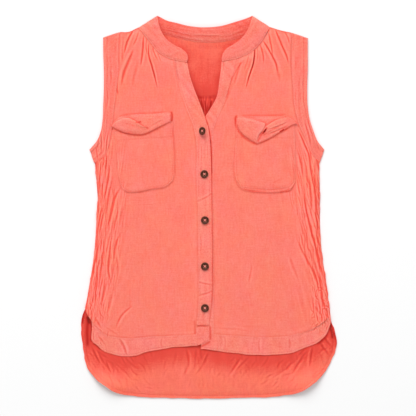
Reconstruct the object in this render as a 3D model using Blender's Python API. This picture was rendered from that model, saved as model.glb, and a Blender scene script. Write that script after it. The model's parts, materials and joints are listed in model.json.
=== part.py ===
"""Sleeveless blouse with a band collar and five buttons, laid on its back.

Each piece that is cut and sewn on is one closed wall of cloth.  Sizes are in millimetres until a mesh is
made.  X runs from the centre front towards the wearer's left, Y from the lowest point of the back hem
towards the neck, and Z up from the surface that the blouse lies on.
"""

import math
from collections import namedtuple

import bmesh
import bpy
import numpy as np

MM = 0.001

# Walls and levels
CLOTH = 1.2            # one layer of crinkled viscose
DOUBLE = 1.4           # folded double: bands and plackets
COLLAR = 1.6           # folded double over an interlining
MOST_WALL = 3.0        # a fold is hollow below this much cloth
SEAM = 0.5             # gap between two pieces that are sewn together, shared by both
LAYER_GAP = 0.3        # gap between a piece and the one that it lies on
FRONT_LEVEL = 2.8      # underside of the fronts
SEAM_LEVEL = CLOTH + LAYER_GAP             # underside of the fronts where they meet the back
LAP_LEVEL = FRONT_LEVEL + DOUBLE + LAYER_GAP   # underside of the buttoned edge, over the underlap
POCKET_LEVEL = FRONT_LEVEL + CLOTH + LAYER_GAP
FLAP_LEVEL = POCKET_LEVEL + CLOTH + LAYER_GAP

# Heights along the blouse
YOKE_SEAM = 546        # across the back
CROSS_SEAM = 493       # where the neck bands meet the plackets
UNDER_SEAM = 485       # the same seam's outer end on the underlap
PLACKET_END = 132
LAP_START = 572        # the buttoned edge begins to climb over the other below this
LAP_WHOLE = 520

# Buttons
BUTTON_WIDTH = 14.4
BUTTON_THICKNESS = 2.6
BUTTON_SIDES = 20

# Points along the seams that two pieces share
ARM_CELLS = 22
ARM_BUNCH = 0.85       # closest at the underarm
BAND_CELLS = 16        # along the neck bands
LAP_CELLS = 20         # along the plackets
SHOULDER_CELLS = 8
NECK_CELLS = 24
HEM_CELLS = SHOULDER_CELLS + NECK_CELLS
HEM_BUNCH = 1.25       # closer towards the side seams


def table(columns, *rows):
    """Rows with named columns."""
    Row = namedtuple("Row", columns)
    return [Row(*row) for row in rows]


# Outlines.  "right" and "left" are the wearer's.
SHOULDER_RIGHT = table("x y", (-154, 658), (-140, 658), (-120, 666.5))
SHOULDER_LEFT = table("x y", (116, 667), (135, 661), (154, 657))
ARM_SEAM_RIGHT = table("x y", (-154, 658), (-156, 623), (-156, 594), (-160, 557), (-164, 522), (-168, 490),
                       (-173, 459), (-181, 436), (-199, 424))
ARM_SEAM_LEFT = table("x y", (154, 657), (154, 602), (157, 557), (160, 522), (167, 496), (180, 466),
                      (190, 442), (205, 425))
ARM_EDGE_RIGHT = table("x y", (-184, 648), (-184, 624), (-183, 595), (-183, 555), (-184, 530), (-185, 505),
                       (-188, 483), (-195, 465), (-208, 449))
ARM_EDGE_LEFT = table("x y", (184, 647), (184, 624), (184, 595), (183, 555), (184, 526), (188, 501),
                      (194, 483), (201, 465), (213, 449))
SIDE_RIGHT = table("x y", (-199, 424), (-198, 406), (-194, 372), (-195, 343), (-197, 312), (-199, 278),
                   (-202, 249), (-209, 206), (-214, 177), (-217, 164))
SIDE_LEFT = table("x y", (205, 425), (205, 408), (206, 372), (206, 321), (208, 278), (211, 249),
                  (217, 213), (221, 180), (225, 150))
VENT_RIGHT = table("x y", (-217, 164), (-213, 152), (-205, 140))
NECK_SEAM_RIGHT = table("x y", (-120, 666.5), (-102, 643), (-82, 620), (-65, 611), (-58, 609))
NECK_SEAM_LEFT = table("x y", (60, 612), (78, 620), (98, 637), (108, 652), (116, 667))
NECK_SEAM_BACK = table("x y", (-120, 666.5), (-95, 661), (-73, 655), (-55, 649), (-28, 642.6), (0, 640),
                       (26, 641), (53, 645), (73, 652), (92, 659), (116, 667))
BAND_OUTER_RIGHT = table("x y", (-58, 609), (-54, 588), (-46, 553), (-34, 519), (-23, CROSS_SEAM))
BAND_INNER_RIGHT = table("x y", (-32.5, 604), (-28, 581), (-20, 557), (-11, 534), (-1, 507), (3, CROSS_SEAM))
BAND_OUTER_LEFT = table("x y", (60, 612), (48, 565), (32, 527), (20, 500), (15, UNDER_SEAM))
BAND_INNER_LEFT = table("x y", (28.5, 605.5), (28, 598), (25, 574), (20, 543), (10, 524), (-1, 507),
                        (-9, CROSS_SEAM))
PLACKET_OUTER = table("x y", (-23, CROSS_SEAM), (-17.5, 465), (-17, 402), (-14, 323), (-13.5, 238),
                      (-13, 177), (-16, PLACKET_END))
PLACKET_INNER = table("x y", (4, CROSS_SEAM), (7, 475), (9.5, 447), (10.5, 404), (11.5, 323), (12, 238),
                      (11, 177), (6, PLACKET_END))
UNDERLAP_OUTER = table("x y", (15, UNDER_SEAM), (15, 300), (15, 116))
UNDERLAP_INNER = table("x y", (-9, CROSS_SEAM), (-9, 300), (-9, 116))
FRONT_CORNER_RIGHT = (-17, 116)
HEM_SEAM_RIGHT = table("x y", (-205, 140), (-194, 127), (-178, 115), (-153, 110), (-92, 112), (-17, 116))
HEM_SEAM_LEFT = table("x y", (15, 116), (46, 114), (102, 111), (147, 113), (190, 126), (213, 140), (225, 150))
HEM_EDGE_RIGHT = table("x y", (-204, 126), (-205, 112), (-204, 103), (-196, 96), (-181, 84), (-168, 80),
                       (-152, 76), (-127, 77), (-107, 83), (-77, 89), (-47, 93), (-17, 95))
HEM_EDGE_LEFT = table("x y", (-8, 89), (13, 87), (58, 81), (102, 78), (132, 79), (155, 82), (181, 92),
                      (206, 103), (218, 116), (223, 128), (226, 139))
TAIL_SIDE_RIGHT = table("x y", (-217, 164), (-222, 148), (-224, 132), (-224, 118), (-222, 98), (-219, 79),
                        (-212, 55), (-196, 35))
TAIL_SIDE_LEFT = table("x y", (225, 150), (227, 138), (231, 127), (235, 112), (236, 99), (233, 84), (228, 71),
                       (217, 50), (200, 31))
TAIL_HEM = table("x y", (-196, 35), (-180, 22), (-165, 12), (-125, 4), (-64, 1), (0, 0), (62, 1),
                 (129, 4), (172, 12), (200, 31))

# Collar band: its seam and its free edge, from the wearer's right end round the back to the left end
COLLAR_BAND = table(
    "seam_x seam_y seam_z edge_x edge_y edge_z",
    (-34, 604.8, 3.8, -31.5, 612, 4.6),
    (-40, 606, 3.8, -33, 620, 5.2),
    (-48, 607.5, 3.8, -42, 629, 6.0),
    (-65, 611.5, 3.8, -52, 634, 7.0),
    (-82, 620.5, 3.8, -66, 643, 8.0),
    (-102, 643.5, 3.8, -80, 662, 8.6),
    (-117.5, 663.8, 3.6, -85.8, 684.5, 7.6),
    (-120.2, 667.4, 2.3, -86.4, 688.5, 5.4),
    (-116.6, 667.2, 1.0, -83.0, 687.2, 3.4),
    (-95, 662, 0.9, -70, 680.5, 4.4),
    (-73, 656, 0.9, -52, 676, 5.4),
    (-40, 646.4, 0.9, -30, 670.5, 6.8),
    (0, 641, 0.9, 0, 668, 7.4),
    (36, 643.4, 0.9, 30, 671, 6.8),
    (66, 650.6, 0.9, 54, 678, 5.4),
    (90, 660.5, 0.9, 70, 683, 4.4),
    (112.6, 667.8, 1.0, 81.2, 687.4, 3.4),
    (116.2, 668, 2.3, 83.8, 688.5, 5.4),
    (113.8, 664.2, 3.6, 83.0, 684, 7.6),
    (98, 638, 3.8, 72, 657, 8.6),
    (78, 620.5, 3.8, 61, 645, 8.0),
    (55, 611.5, 3.8, 48, 636, 7.0),
    (42, 609, 3.8, 37, 629, 6.0),
    (34, 607.5, 3.8, 31, 620, 5.2),
    (29.5, 606.5, 3.8, 29.3, 612, 4.6),
)

POCKET_RIGHT = dict(
    top=table("x y", (-168, 491), (-112, 497), (-58, 499)),
    outer=table("x y", (-168, 491), (-164, 473), (-161, 447), (-157, 400), (-151, 378)),
    inner=table("x y", (-58, 499), (-57, 470), (-55, 436), (-55, 408), (-58, 392)),
    bottom=table("x y", (-151, 378), (-143, 372), (-125, 371), (-98, 376), (-70, 381), (-58, 392)),
)
POCKET_LEFT = dict(
    top=table("x y", (55, 498), (108, 498), (161, 497)),
    outer=table("x y", (161, 497), (162, 470), (162, 436), (162, 410), (161, 390)),
    inner=table("x y", (55, 498), (52, 450), (51, 418), (52, 402), (57, 386)),
    bottom=table("x y", (57, 386), (65, 377), (78, 373), (94, 371), (118, 370), (139, 372), (154, 377),
                 (161, 390)),
)
FLAP_RIGHT = dict(
    seam=table("x y", (-154, 508), (-125, 512), (-91, 513), (-63, 516)),
    start=table("x y", (-154, 508), (-164, 501), (-170, 490)),
    end=table("x y", (-63, 516), (-61, 507), (-62, 498)),
    edge=table("x y", (-170, 490), (-153, 481), (-139, 477), (-125, 475), (-109, 476), (-98, 481),
               (-84, 488), (-70, 495), (-62, 498)),
)
FLAP_LEFT = dict(
    seam=table("x y", (57, 508), (87, 508), (117, 508), (148, 509)),
    start=table("x y", (57, 508), (55.5, 500), (57, 491)),
    end=table("x y", (148, 509), (158, 503), (166, 495)),
    edge=table("x y", (57, 491), (62, 481), (71, 472), (83, 464), (93, 459), (104, 463), (117, 469),
               (132, 478), (144, 485), (154, 491), (166, 495)),
)

# Folds: a bent line from one end to the other, how wide its slopes are, and its height, below zero for a
# trough
FOLD = "x0 y0 x1 y1 x2 y2 width height"
GATHERS_RIGHT = table(
    FOLD,
    (-131, 662, -141, 640, -144, 590, 5.0, -3.0),
    (-136, 617, -141, 596, -150, 566, 5.0, -2.0),
    (-113, 656, -111, 628, -114, 598, 4.5, -3.4),
    (-103, 648, -99, 612, -90, 571, 4.5, -3.4),
    (-94, 636, -91, 617, -86, 592, 4.0, -2.2),
    (-84, 626, -80, 610, -74, 590, 4.0, -1.8),
    (-71, 616, -68, 600, -62, 578, 4.0, -1.2),
)
GATHERS_LEFT = table(
    FOLD,
    (144, 662, 148, 648, 152, 634, 4.5, -1.8),
    (121, 666, 137, 635, 148, 606, 4.5, -3.4),
    (110, 660, 115, 642, 119, 622, 4.0, -2.2),
    (104, 648, 118, 615, 130, 586, 4.5, -3.2),
    (99, 642, 104, 611, 106, 580, 4.0, -2.0),
    (90, 636, 87, 605, 76, 562, 4.5, -3.4),
    (70, 620, 62, 590, 48, 550, 4.5, -2.2),
)
SIDE_FOLDS_RIGHT = table(
    FOLD,
    (-187, 424, -189, 400, -191, 370, 4.5, -1.6),
    (-172, 413, -176, 385, -184, 348, 4.5, -1.8),
    (-151, 386, -165, 340, -178, 298, 4.5, -1.6),
    (-156, 332, -160, 285, -166, 242, 4.5, -1.3),
    (-191, 293, -197, 245, -202, 202, 4.5, -1.7),
    (-171, 288, -175, 250, -172, 206, 4.5, -1.5),
    (-187, 234, -193, 200, -197, 170, 4.5, -1.5),
    (-130, 170, -151, 148, -160, 126, 4.5, -1.1),
)
SIDE_FOLDS_LEFT = table(
    FOLD,
    (176, 464, 187, 424, 194, 388, 4.5, -1.8),
    (166, 439, 171, 413, 176, 390, 4.5, -1.2),
    (195, 401, 197, 346, 202, 290, 4.5, -1.8),
    (180, 360, 189, 316, 203, 238, 5.0, -1.7),
    (162, 296, 175, 265, 188, 232, 5.0, -1.4),
    (200, 232, 208, 190, 218, 156, 4.5, -1.8),
    (83, 242, 81, 225, 78, 208, 5.0, -0.8),
)
TAIL_FOLDS = table(
    FOLD,
    (-204, 90, -197, 72, -188, 54, 6.0, 1.4),
    (-180, 70, -173, 54, -166, 38, 6.0, 1.4),
    (-154, 68, -138, 50, -124, 34, 8.0, 1.1),
    (-36, 88, -32, 56, -50, 24, 7.0, 1.8),
    (5, 82, -9, 54, -24, 34, 7.0, 1.8),
    (62, 76, 50, 53, 38, 30, 7.0, 1.6),
    (164, 72, 134, 46, 108, 28, 7.0, 1.6),
    (182, 84, 168, 62, 152, 36, 6.0, 1.8),
    (201, 92, 199, 70, 196, 48, 6.0, 1.7),
    (208, 98, 217, 86, 224, 74, 6.0, 1.3),
)
FOLD_ENDS = 0.3        # share of a fold's length over which it fades at each end
GATHER_LIFT = 3.6      # the fronts stand up this much under the collar, and the gathers are troughs in that
GATHER_REACH = 100     # how far that runs down from the neck seam
GATHER_PINCH = 12      # the collar holds them down within this much of the seam
SIDE_LIFT = 1.9        # the same along the side seams, where the cloth is creased
SIDE_REACH = 62
SIDE_ROUND = 16        # the fronts turn down to the back within this much of the side seam
SHOULDER_ROUND = 12
ARM_DROP = 0.4         # the fronts meet the armhole bands this much lower
POCKET_MARGIN = 9      # the fronts are smooth this far round a pocket, and folded again after POCKET_FADE
POCKET_FADE = 12
BACK_GATHERS = 16      # gathers across the middle of the back under the yoke
BACK_GATHER_HALF = 62  # they reach this far each side of the middle
BACK_GATHER_HEIGHT = 1.1
BACK_GATHER_REACH = 70
COLLAR_BOW = 2.0       # the collar's back curves up between its seam and its edge
NECK_LIFT = 4.0        # the open neck's edges stand up this much off the back
LAP_ROUND = 16         # the buttoned front climbs over the other within this much of its edge
HEM_WAVE = 27          # the front hems stand up from the back in waves, this long for each radian
HEM_LIFT = 3.6
HEM_REACH = 30
FLAP_STEP = 7          # a flap leaves the front for the pocket within this much of its seam

# Flaps are crumpled: their lobes, as soft bumps with a place, half a length each way, a turn and a height
LOBE = "x y long wide turn height"
FLAP_LOBES_RIGHT = table(
    LOBE,
    (-146, 491, 20, 8, -20, 4.4),
    (-112, 482, 20, 5, -4, 3.6),
    (-82, 500, 20, 5, 24, 3.0),
)
FLAP_LOBES_LEFT = table(
    LOBE,
    (77, 488, 19, 14, -45, 3.6),
    (130, 488, 24, 6, 34, 4.6),
    (114, 505, 26, 4, -4, 1.6),
)

BUTTONS = table(
    "name x y tilt",
    ("button_1", -5, 481.5, 40),
    ("button_2", -2, 404, 0),
    ("button_3", -1, 321, 0),
    ("button_4", -1, 238, 0),
    ("button_5", -1, 163, 0),
)
BUTTON_PROFILE = table(
    "radius height",                       # as shares of half the width and of the thickness
    (0.86, 0.0), (1.0, 0.25), (1.0, 0.62), (0.9, 0.96), (0.74, 0.96), (0.58, 0.66), (0.4, 0.58),
)

CORAL = dict(colour=(0.90, 0.22, 0.15), roughness=0.85)
CORAL_INSIDE = dict(colour=(0.80, 0.14, 0.10), roughness=0.88)
HORN = dict(colour=(0.045, 0.025, 0.015), roughness=0.35)


# Lines and grids

def ease(value):
    """0 below 0, 1 above 1 and smooth between."""
    value = np.clip(value, 0.0, 1.0)
    return value * value * (3.0 - 2.0 * value)


def smooth_run(points, cells, bunch=1.0):
    """cells + 1 points on a smooth curve through these; bunch over 1 sets them closer at its start."""
    points = np.array([tuple(point) for point in points], float)
    reach = np.append(0.0, np.cumsum(np.linalg.norm(np.diff(points, axis=0), axis=1)))
    slope = np.gradient(points, reach, axis=0)
    fine = np.linspace(0.0, reach[-1], 24 * len(points))
    span = np.clip(np.searchsorted(reach, fine, side="right") - 1, 0, len(points) - 2)
    width = (reach[span + 1] - reach[span])[:, None]
    t = (fine - reach[span])[:, None] / width
    curve = (
        (1 + 2 * t) * (1 - t) ** 2 * points[span]
        + t * (1 - t) ** 2 * width * slope[span]
        + t * t * (3 - 2 * t) * points[span + 1]
        + t * t * (t - 1) * width * slope[span + 1]
    )
    length = np.append(0.0, np.cumsum(np.linalg.norm(np.diff(curve, axis=0), axis=1)))
    wanted = length[-1] * np.linspace(0.0, 1.0, cells + 1) ** bunch
    return np.stack([np.interp(wanted, length, axis) for axis in curve.T], axis=-1)


def arm_run(points):
    """An armhole's line, with its points closest at the underarm, where it turns most."""
    return smooth_run(points, ARM_CELLS, ARM_BUNCH)


def hem_run(points, towards_end=False):
    """A line along a front's hem, with its points closer towards the side seam."""
    return smooth_run(points, HEM_CELLS, 1 / HEM_BUNCH if towards_end else HEM_BUNCH)


def joined(*runs):
    """One line from several that meet at corners."""
    return np.concatenate([runs[0]] + [run[1:] for run in runs[1:]])


def patch(top, bottom, left, right):
    """Grid of points between four edges: rows from top to bottom, columns from left to right."""
    u = np.linspace(0.0, 1.0, len(top))[None, :, None]
    v = np.linspace(0.0, 1.0, len(left))[:, None, None]
    between = (1 - v) * top[None] + v * bottom[None]
    beside = (1 - u) * left[:, None] + u * right[:, None]
    corners = (1 - v) * ((1 - u) * top[0] + u * top[-1]) + v * ((1 - u) * bottom[0] + u * bottom[-1])
    return between + beside - corners


def trimmed(plan, gap=SEAM / 2):
    """The grid with its outer points moved in, to part it from the pieces that it is sewn to."""
    plan = plan.copy()
    for edge, inner in ((plan[0], plan[1]), (plan[-1], plan[-2]),
                        (plan[:, 0], plan[:, 1]), (plan[:, -1], plan[:, -2])):
        step = inner - edge
        edge += gap * step / np.linalg.norm(step, axis=-1, keepdims=True)
    return plan


def nearest(plan, line):
    """For each point of a grid, how far the line is, and how far along the line that is, from 0 to 1."""
    start, run = line[:-1], np.diff(line, axis=0)
    offset = plan[..., None, :] - start
    share = np.clip((offset * run).sum(-1) / (run**2).sum(-1), 0.0, 1.0)
    distance = np.linalg.norm(offset - share[..., None] * run, axis=-1)
    best = distance.argmin(-1)[..., None]
    along = (best + np.take_along_axis(share, best, -1)) / len(run)
    return np.take_along_axis(distance, best, -1)[..., 0], along[..., 0]


def away(plan, points):
    return nearest(plan, smooth_run(points, 24))[0]


# Heights

def folds(plan, rows):
    """What a table of folds adds to the height of a grid."""
    height = np.zeros(plan.shape[:2])
    for fold in rows:
        line = smooth_run([(fold.x0, fold.y0), (fold.x1, fold.y1), (fold.x2, fold.y2)], 10)
        distance, along = nearest(plan, line)
        fade = ease(np.minimum(along, 1 - along) / FOLD_ENDS)
        height += fold.height * fade * np.exp(-((distance / fold.width) ** 2))
    return height


def lobes(plan, rows):
    """What a table of soft bumps adds to the height of a grid."""
    height = np.zeros(plan.shape[:2])
    for lobe in rows:
        turn = math.radians(lobe.turn)
        x, y = plan[..., 0] - lobe.x, plan[..., 1] - lobe.y
        along = (x * math.cos(turn) + y * math.sin(turn)) / lobe.long
        across = (y * math.cos(turn) - x * math.sin(turn)) / lobe.wide
        height += lobe.height * np.exp(-(along**2) - across**2)
    return height


def lap_rise(y):
    """How far the buttoned edge is lifted over the other at a height along the front."""
    return (LAP_LEVEL - FRONT_LEVEL) * ease((LAP_START - y) / (LAP_START - LAP_WHOLE))


def front_level(plan, side, shoulder, arm_seam):
    """Underside of a front: low where it is sewn to the back, and level elsewhere."""
    turned = np.maximum(
        1 - ease(away(plan, side) / SIDE_ROUND), 1 - ease(away(plan, shoulder) / SHOULDER_ROUND))
    level = FRONT_LEVEL - (FRONT_LEVEL - SEAM_LEVEL) * turned
    return np.minimum(level, FRONT_LEVEL - ARM_DROP * (1 - ease(away(plan, arm_seam) / SHOULDER_ROUND)))


def front_relief(plan, side, neck_seam, gathers, side_folds, pocket):
    """Gathers under the collar and creases beside the side seam, with a smooth place for the pocket."""
    from_neck, from_side = away(plan, neck_seam), away(plan, side)
    gathered = GATHER_LIFT * ease(1 - from_neck / GATHER_REACH) * (0.4 + 0.6 * ease(from_neck / GATHER_PINCH))
    creased = SIDE_LIFT * ease(1 - from_side / SIDE_REACH) * ease(from_side / SIDE_ROUND)
    relief = np.maximum(gathered + folds(plan, gathers), 0.0)
    relief += np.maximum(creased + folds(plan, side_folds), 0.0)
    corners = np.array([tuple(point) for point in pocket["outer"] + pocket["inner"]])
    low, high = corners.min(axis=0), corners.max(axis=0)
    outside = np.linalg.norm(np.maximum(np.maximum(low - plan, plan - high), 0.0), axis=-1)
    return relief * ease((outside - POCKET_MARGIN) / POCKET_FADE)


def slab(name, plan, level, relief, finish, thickness=CLOTH):
    """A piece that lies nearly flat: its wall rises from its level, and is hollow under its highest folds."""
    top = level + thickness + relief
    under = np.maximum(level, top - MOST_WALL)
    return wall(name, np.dstack([plan, top]), np.dstack([plan, under]), finish)


def shell(name, middle, thickness, finish, ring=False):
    """A wall of even thickness on both sides of a surface, kept above the surface that it lies on."""
    if ring:
        along = np.roll(middle, -1, axis=0) - np.roll(middle, 1, axis=0)
    else:
        along = np.gradient(middle, axis=0)
    out = np.cross(along, np.gradient(middle, axis=1))
    out *= thickness / 2 / np.linalg.norm(out, axis=-1, keepdims=True)
    faces = []
    for side in (middle + out, middle - out):
        side[..., 2] = np.maximum(side[..., 2], 0.0)
        faces.append(side)
    return wall(name, faces[0], faces[1], finish, ring)


def wall(name, top, under, finish, ring=False):
    """Closed mesh between two grids of points.  The last row of a ring meets its first."""
    rows, columns = top.shape[:2]
    made = bmesh.new()
    upper = [[made.verts.new(point) for point in row] for row in top * MM]
    lower = [[made.verts.new(point) for point in row] for row in under * MM]
    below = {a: b for row_a, row_b in zip(upper, lower) for a, b in zip(row_a, row_b)}
    for i in range(rows if ring else rows - 1):
        for j in range(columns - 1):
            after = (i + 1) % rows
            made.faces.new((upper[i][j], upper[after][j], upper[after][j + 1], upper[i][j + 1]))
    sheet = list(made.faces)
    rim = [(edge.link_loops[0].vert, edge.link_loops[0].link_loop_next.vert)
           for edge in made.edges if edge.is_boundary]
    for face in sheet:
        made.faces.new([below[vert] for vert in reversed(face.verts)])
    for start, end in rim:
        made.faces.new((end, start, below[start], below[end]))
    return add_object(name, made, finish)


# Objects

def material(name, finish):
    made = bpy.data.materials.get(name)
    if made:
        return made
    made = bpy.data.materials.new(name)
    made.use_nodes = True
    shader = made.node_tree.nodes["Principled BSDF"]
    shader.inputs["Base Color"].default_value = (*finish["colour"], 1.0)
    shader.inputs["Roughness"].default_value = finish["roughness"]
    shader.inputs["Metallic"].default_value = 0.0
    return made


def add_object(name, made, finish):
    mesh = bpy.data.meshes.new(name)
    made.to_mesh(mesh)
    made.free()
    mesh.shade_smooth()
    mesh.set_sharp_from_angle(angle=math.radians(50))
    mesh.materials.append(material(name + "_finish", finish))
    made_object = bpy.data.objects.new(name, mesh)
    bpy.context.scene.collection.objects.link(made_object)
    made_object.parent = blouse
    return made_object


# Pieces

def make_front_right():
    plan = trimmed(patch(
        joined(smooth_run(SHOULDER_RIGHT, SHOULDER_CELLS), smooth_run(NECK_SEAM_RIGHT, NECK_CELLS)),
        hem_run(HEM_SEAM_RIGHT),
        joined(arm_run(ARM_SEAM_RIGHT), smooth_run(SIDE_RIGHT, 13), smooth_run(VENT_RIGHT, 3)),
        joined(smooth_run(BAND_OUTER_RIGHT, BAND_CELLS), smooth_run(PLACKET_OUTER, LAP_CELLS),
               smooth_run([PLACKET_OUTER[-1], FRONT_CORNER_RIGHT], 2)),
    ))
    inner_edge = BAND_OUTER_RIGHT + PLACKET_OUTER[1:] + [FRONT_CORNER_RIGHT]
    level = front_level(plan, SIDE_RIGHT, SHOULDER_RIGHT, ARM_SEAM_RIGHT)
    level += lap_rise(plan[..., 1]) * (1 - ease(away(plan, inner_edge) / LAP_ROUND))
    relief = front_relief(plan, SIDE_RIGHT, NECK_SEAM_RIGHT, GATHERS_RIGHT, SIDE_FOLDS_RIGHT, POCKET_RIGHT)
    slab("front_right", plan, level, relief, CORAL)


def make_front_left():
    plan = trimmed(patch(
        joined(smooth_run(NECK_SEAM_LEFT, NECK_CELLS), smooth_run(SHOULDER_LEFT, SHOULDER_CELLS)),
        hem_run(HEM_SEAM_LEFT, towards_end=True),
        joined(smooth_run(BAND_OUTER_LEFT, BAND_CELLS), smooth_run(UNDERLAP_OUTER, LAP_CELLS)),
        joined(arm_run(ARM_SEAM_LEFT), smooth_run(SIDE_LEFT, BAND_CELLS + LAP_CELLS - ARM_CELLS)),
    ))
    level = front_level(plan, SIDE_LEFT, SHOULDER_LEFT, ARM_SEAM_LEFT)
    relief = front_relief(plan, SIDE_LEFT, NECK_SEAM_LEFT, GATHERS_LEFT, SIDE_FOLDS_LEFT, POCKET_LEFT)
    slab("front_left", plan, level, relief, CORAL)


def make_back():
    arm_right, arm_left = arm_run(ARM_SEAM_RIGHT), arm_run(ARM_SEAM_LEFT)
    cut = int(np.argmin(abs(arm_right[:, 1] - YOKE_SEAM)))
    gathered = np.array([(-BACK_GATHER_HALF, YOKE_SEAM), (BACK_GATHER_HALF, YOKE_SEAM)], float)
    beside_it = 6          # columns beside the gathers on each side

    def yoke_seam(middle_cells):
        return joined(smooth_run([arm_right[cut], gathered[0]], beside_it), smooth_run(gathered, middle_cells),
                      smooth_run([gathered[1], arm_left[cut]], beside_it))

    seam = yoke_seam(2 * BACK_GATHERS)
    columns = len(seam) - 1
    yoke = trimmed(patch(
        joined(smooth_run(SHOULDER_RIGHT, 4), smooth_run(NECK_SEAM_BACK, 20), smooth_run(SHOULDER_LEFT, 4)),
        yoke_seam(28 - 2 * beside_it),
        arm_right[: cut + 1],
        arm_left[: cut + 1],
    ))
    slab("back_yoke", yoke, np.zeros(yoke.shape[:2]), np.zeros(yoke.shape[:2]), CORAL_INSIDE)
    plan = trimmed(patch(
        seam,
        smooth_run(TAIL_HEM, columns),
        joined(arm_right[cut:], smooth_run(SIDE_RIGHT, 5), smooth_run(TAIL_SIDE_RIGHT, 12)),
        joined(arm_left[cut:], smooth_run(SIDE_LEFT, 5), smooth_run(TAIL_SIDE_LEFT, 12)),
    ))
    gather = np.zeros(columns + 1)
    gather[beside_it + 1:columns - beside_it:2] = 1.0
    relief = BACK_GATHER_HEIGHT * gather * ease(1 - (YOKE_SEAM - plan[..., 1]) / BACK_GATHER_REACH)
    relief += folds(plan, TAIL_FOLDS)
    slab("back_panel", plan, np.zeros(relief.shape), relief, CORAL_INSIDE)


def make_armhole_band(name, seam, edge):
    """A band sewn round an armhole, laid flat: its front over its back, folded at shoulder and underarm."""
    inner, outer = arm_run(seam), arm_run(edge)
    width = outer - inner
    inner = inner + SEAM / 2 * width / np.linalg.norm(width, axis=-1, keepdims=True)
    plan = np.stack([inner + share * (outer - inner) for share in (0.0, 0.5, 1.0)], axis=1)
    front_middle, back_middle = FRONT_LEVEL - ARM_DROP + DOUBLE / 2, DOUBLE / 2
    centre, radius = (front_middle + back_middle) / 2, (front_middle - back_middle) / 2

    def at(rows, height):
        return np.dstack([rows, np.full(rows.shape[:2], height)])

    def fold(row, before, turns):
        """Rows round a fold, pushed out along the way that the band was going."""
        forward = (row - before).mean(axis=0)
        across = (row[-1] - row[0]) / np.linalg.norm(row[-1] - row[0])
        forward -= across * forward.dot(across)
        forward /= np.linalg.norm(forward)
        return [at(row[None] + forward * radius * math.sin(turn), centre + radius * math.cos(turn))
                for turn in np.radians(turns)]

    rows = [at(plan, front_middle)]
    rows += fold(plan[-1], plan[-2], (45, 90, 135))
    rows += [at(plan[::-1], back_middle)]
    rows += fold(plan[0], plan[1], (135, 90, 45))
    middle = np.concatenate(rows)
    if name.endswith("right"):
        middle = middle[:, ::-1]
    shell(name, middle, DOUBLE, CORAL, ring=True)


def make_collar():
    rows = np.array([tuple(row) for row in COLLAR_BAND])
    path = smooth_run(rows, 72)
    seam, edge = path[:, :3], path[:, 3:]
    shares = np.linspace(0.0, 1.0, 5)
    middle = np.stack([seam + share * (edge - seam) for share in shares], axis=1)
    at_back = ease((95 - abs(seam[:, 0])) / 50) * (seam[:, 2] < 2)
    middle[..., 2] += COLLAR_BOW * at_back[:, None] * np.sin(np.pi * shares)
    shell("collar_band", middle[:, ::-1], COLLAR, CORAL)


def make_neck_bands():
    for name, outer, inner, rise in (
        ("neck_band_right", BAND_OUTER_RIGHT, BAND_INNER_RIGHT, True),
        ("neck_band_left", BAND_OUTER_LEFT, BAND_INNER_LEFT, False),
    ):
        sides = [smooth_run(side, BAND_CELLS) for side in (outer, inner)]
        if name == "neck_band_left":
            sides.reverse()
        plan = trimmed(patch(*(smooth_run([sides[0][end], sides[1][end]], 3) for end in (0, -1)), *sides))
        y = plan[..., 1]
        inwards = np.linspace(0.0, 1.0, 4)[None, :] if rise else np.linspace(1.0, 0.0, 4)[None, :]
        open_part = ease((y - LAP_WHOLE) / 30) * ease((606 - y) / 24)
        level = FRONT_LEVEL + lap_rise(y) * rise + NECK_LIFT * ease(inwards * 1.1) * open_part
        slab(name, plan, level, np.zeros(level.shape), CORAL, DOUBLE)


def make_plackets():
    for name, sides, level in (
        ("placket_right", (PLACKET_OUTER, PLACKET_INNER), LAP_LEVEL),
        ("placket_left", (UNDERLAP_INNER, UNDERLAP_OUTER), FRONT_LEVEL),
    ):
        sides = [smooth_run(side, LAP_CELLS) for side in sides]
        plan = trimmed(patch(*(smooth_run([sides[0][end], sides[1][end]], 2) for end in (0, -1)), *sides))
        flat = np.zeros(plan.shape[:2])
        slab(name, plan, flat + level, flat, CORAL, DOUBLE)


def make_hem_bands():
    lip = (7, PLACKET_END - 2)             # the buttoned edge's foot runs on over the other front
    right = trimmed(patch(
        joined(hem_run(HEM_SEAM_RIGHT), smooth_run([FRONT_CORNER_RIGHT, (-14.5, 129.5), lip], 3)),
        joined(hem_run(HEM_EDGE_RIGHT), smooth_run([(-17, 95), (-8, 98), (7, 104)], 3)),
        smooth_run([HEM_SEAM_RIGHT[0], HEM_EDGE_RIGHT[0]], 4),
        smooth_run([lip, (7, 104)], 4),
    ))
    left = trimmed(patch(
        joined(smooth_run([(-8, 115.5), HEM_SEAM_LEFT[0]], 2), hem_run(HEM_SEAM_LEFT, towards_end=True)),
        joined(smooth_run(HEM_EDGE_LEFT[:2], 2), hem_run(HEM_EDGE_LEFT[1:], towards_end=True)),
        smooth_run([(-8, 115.5), HEM_EDGE_LEFT[0]], 4),
        smooth_run([HEM_SEAM_LEFT[-1], HEM_EDGE_LEFT[-1]], 4),
    ))
    for name, plan, seam in (
        ("hem_band_right", right, HEM_SEAM_RIGHT),
        ("hem_band_left", left, HEM_SEAM_LEFT),
    ):
        x = plan[..., 0]
        wave = HEM_LIFT * (1.0 + 0.35 * np.cos(x / HEM_WAVE)) * ease(away(plan, seam) / HEM_REACH)
        if name == "hem_band_right":
            climb = ease((x + 17 + LAP_ROUND) / LAP_ROUND)
            level = FRONT_LEVEL + wave + (LAP_LEVEL - FRONT_LEVEL) * climb
        else:
            level = FRONT_LEVEL + wave * ease((x - 10) / LAP_ROUND)
        slab(name, plan, level, np.zeros(level.shape), CORAL, DOUBLE)


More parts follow.
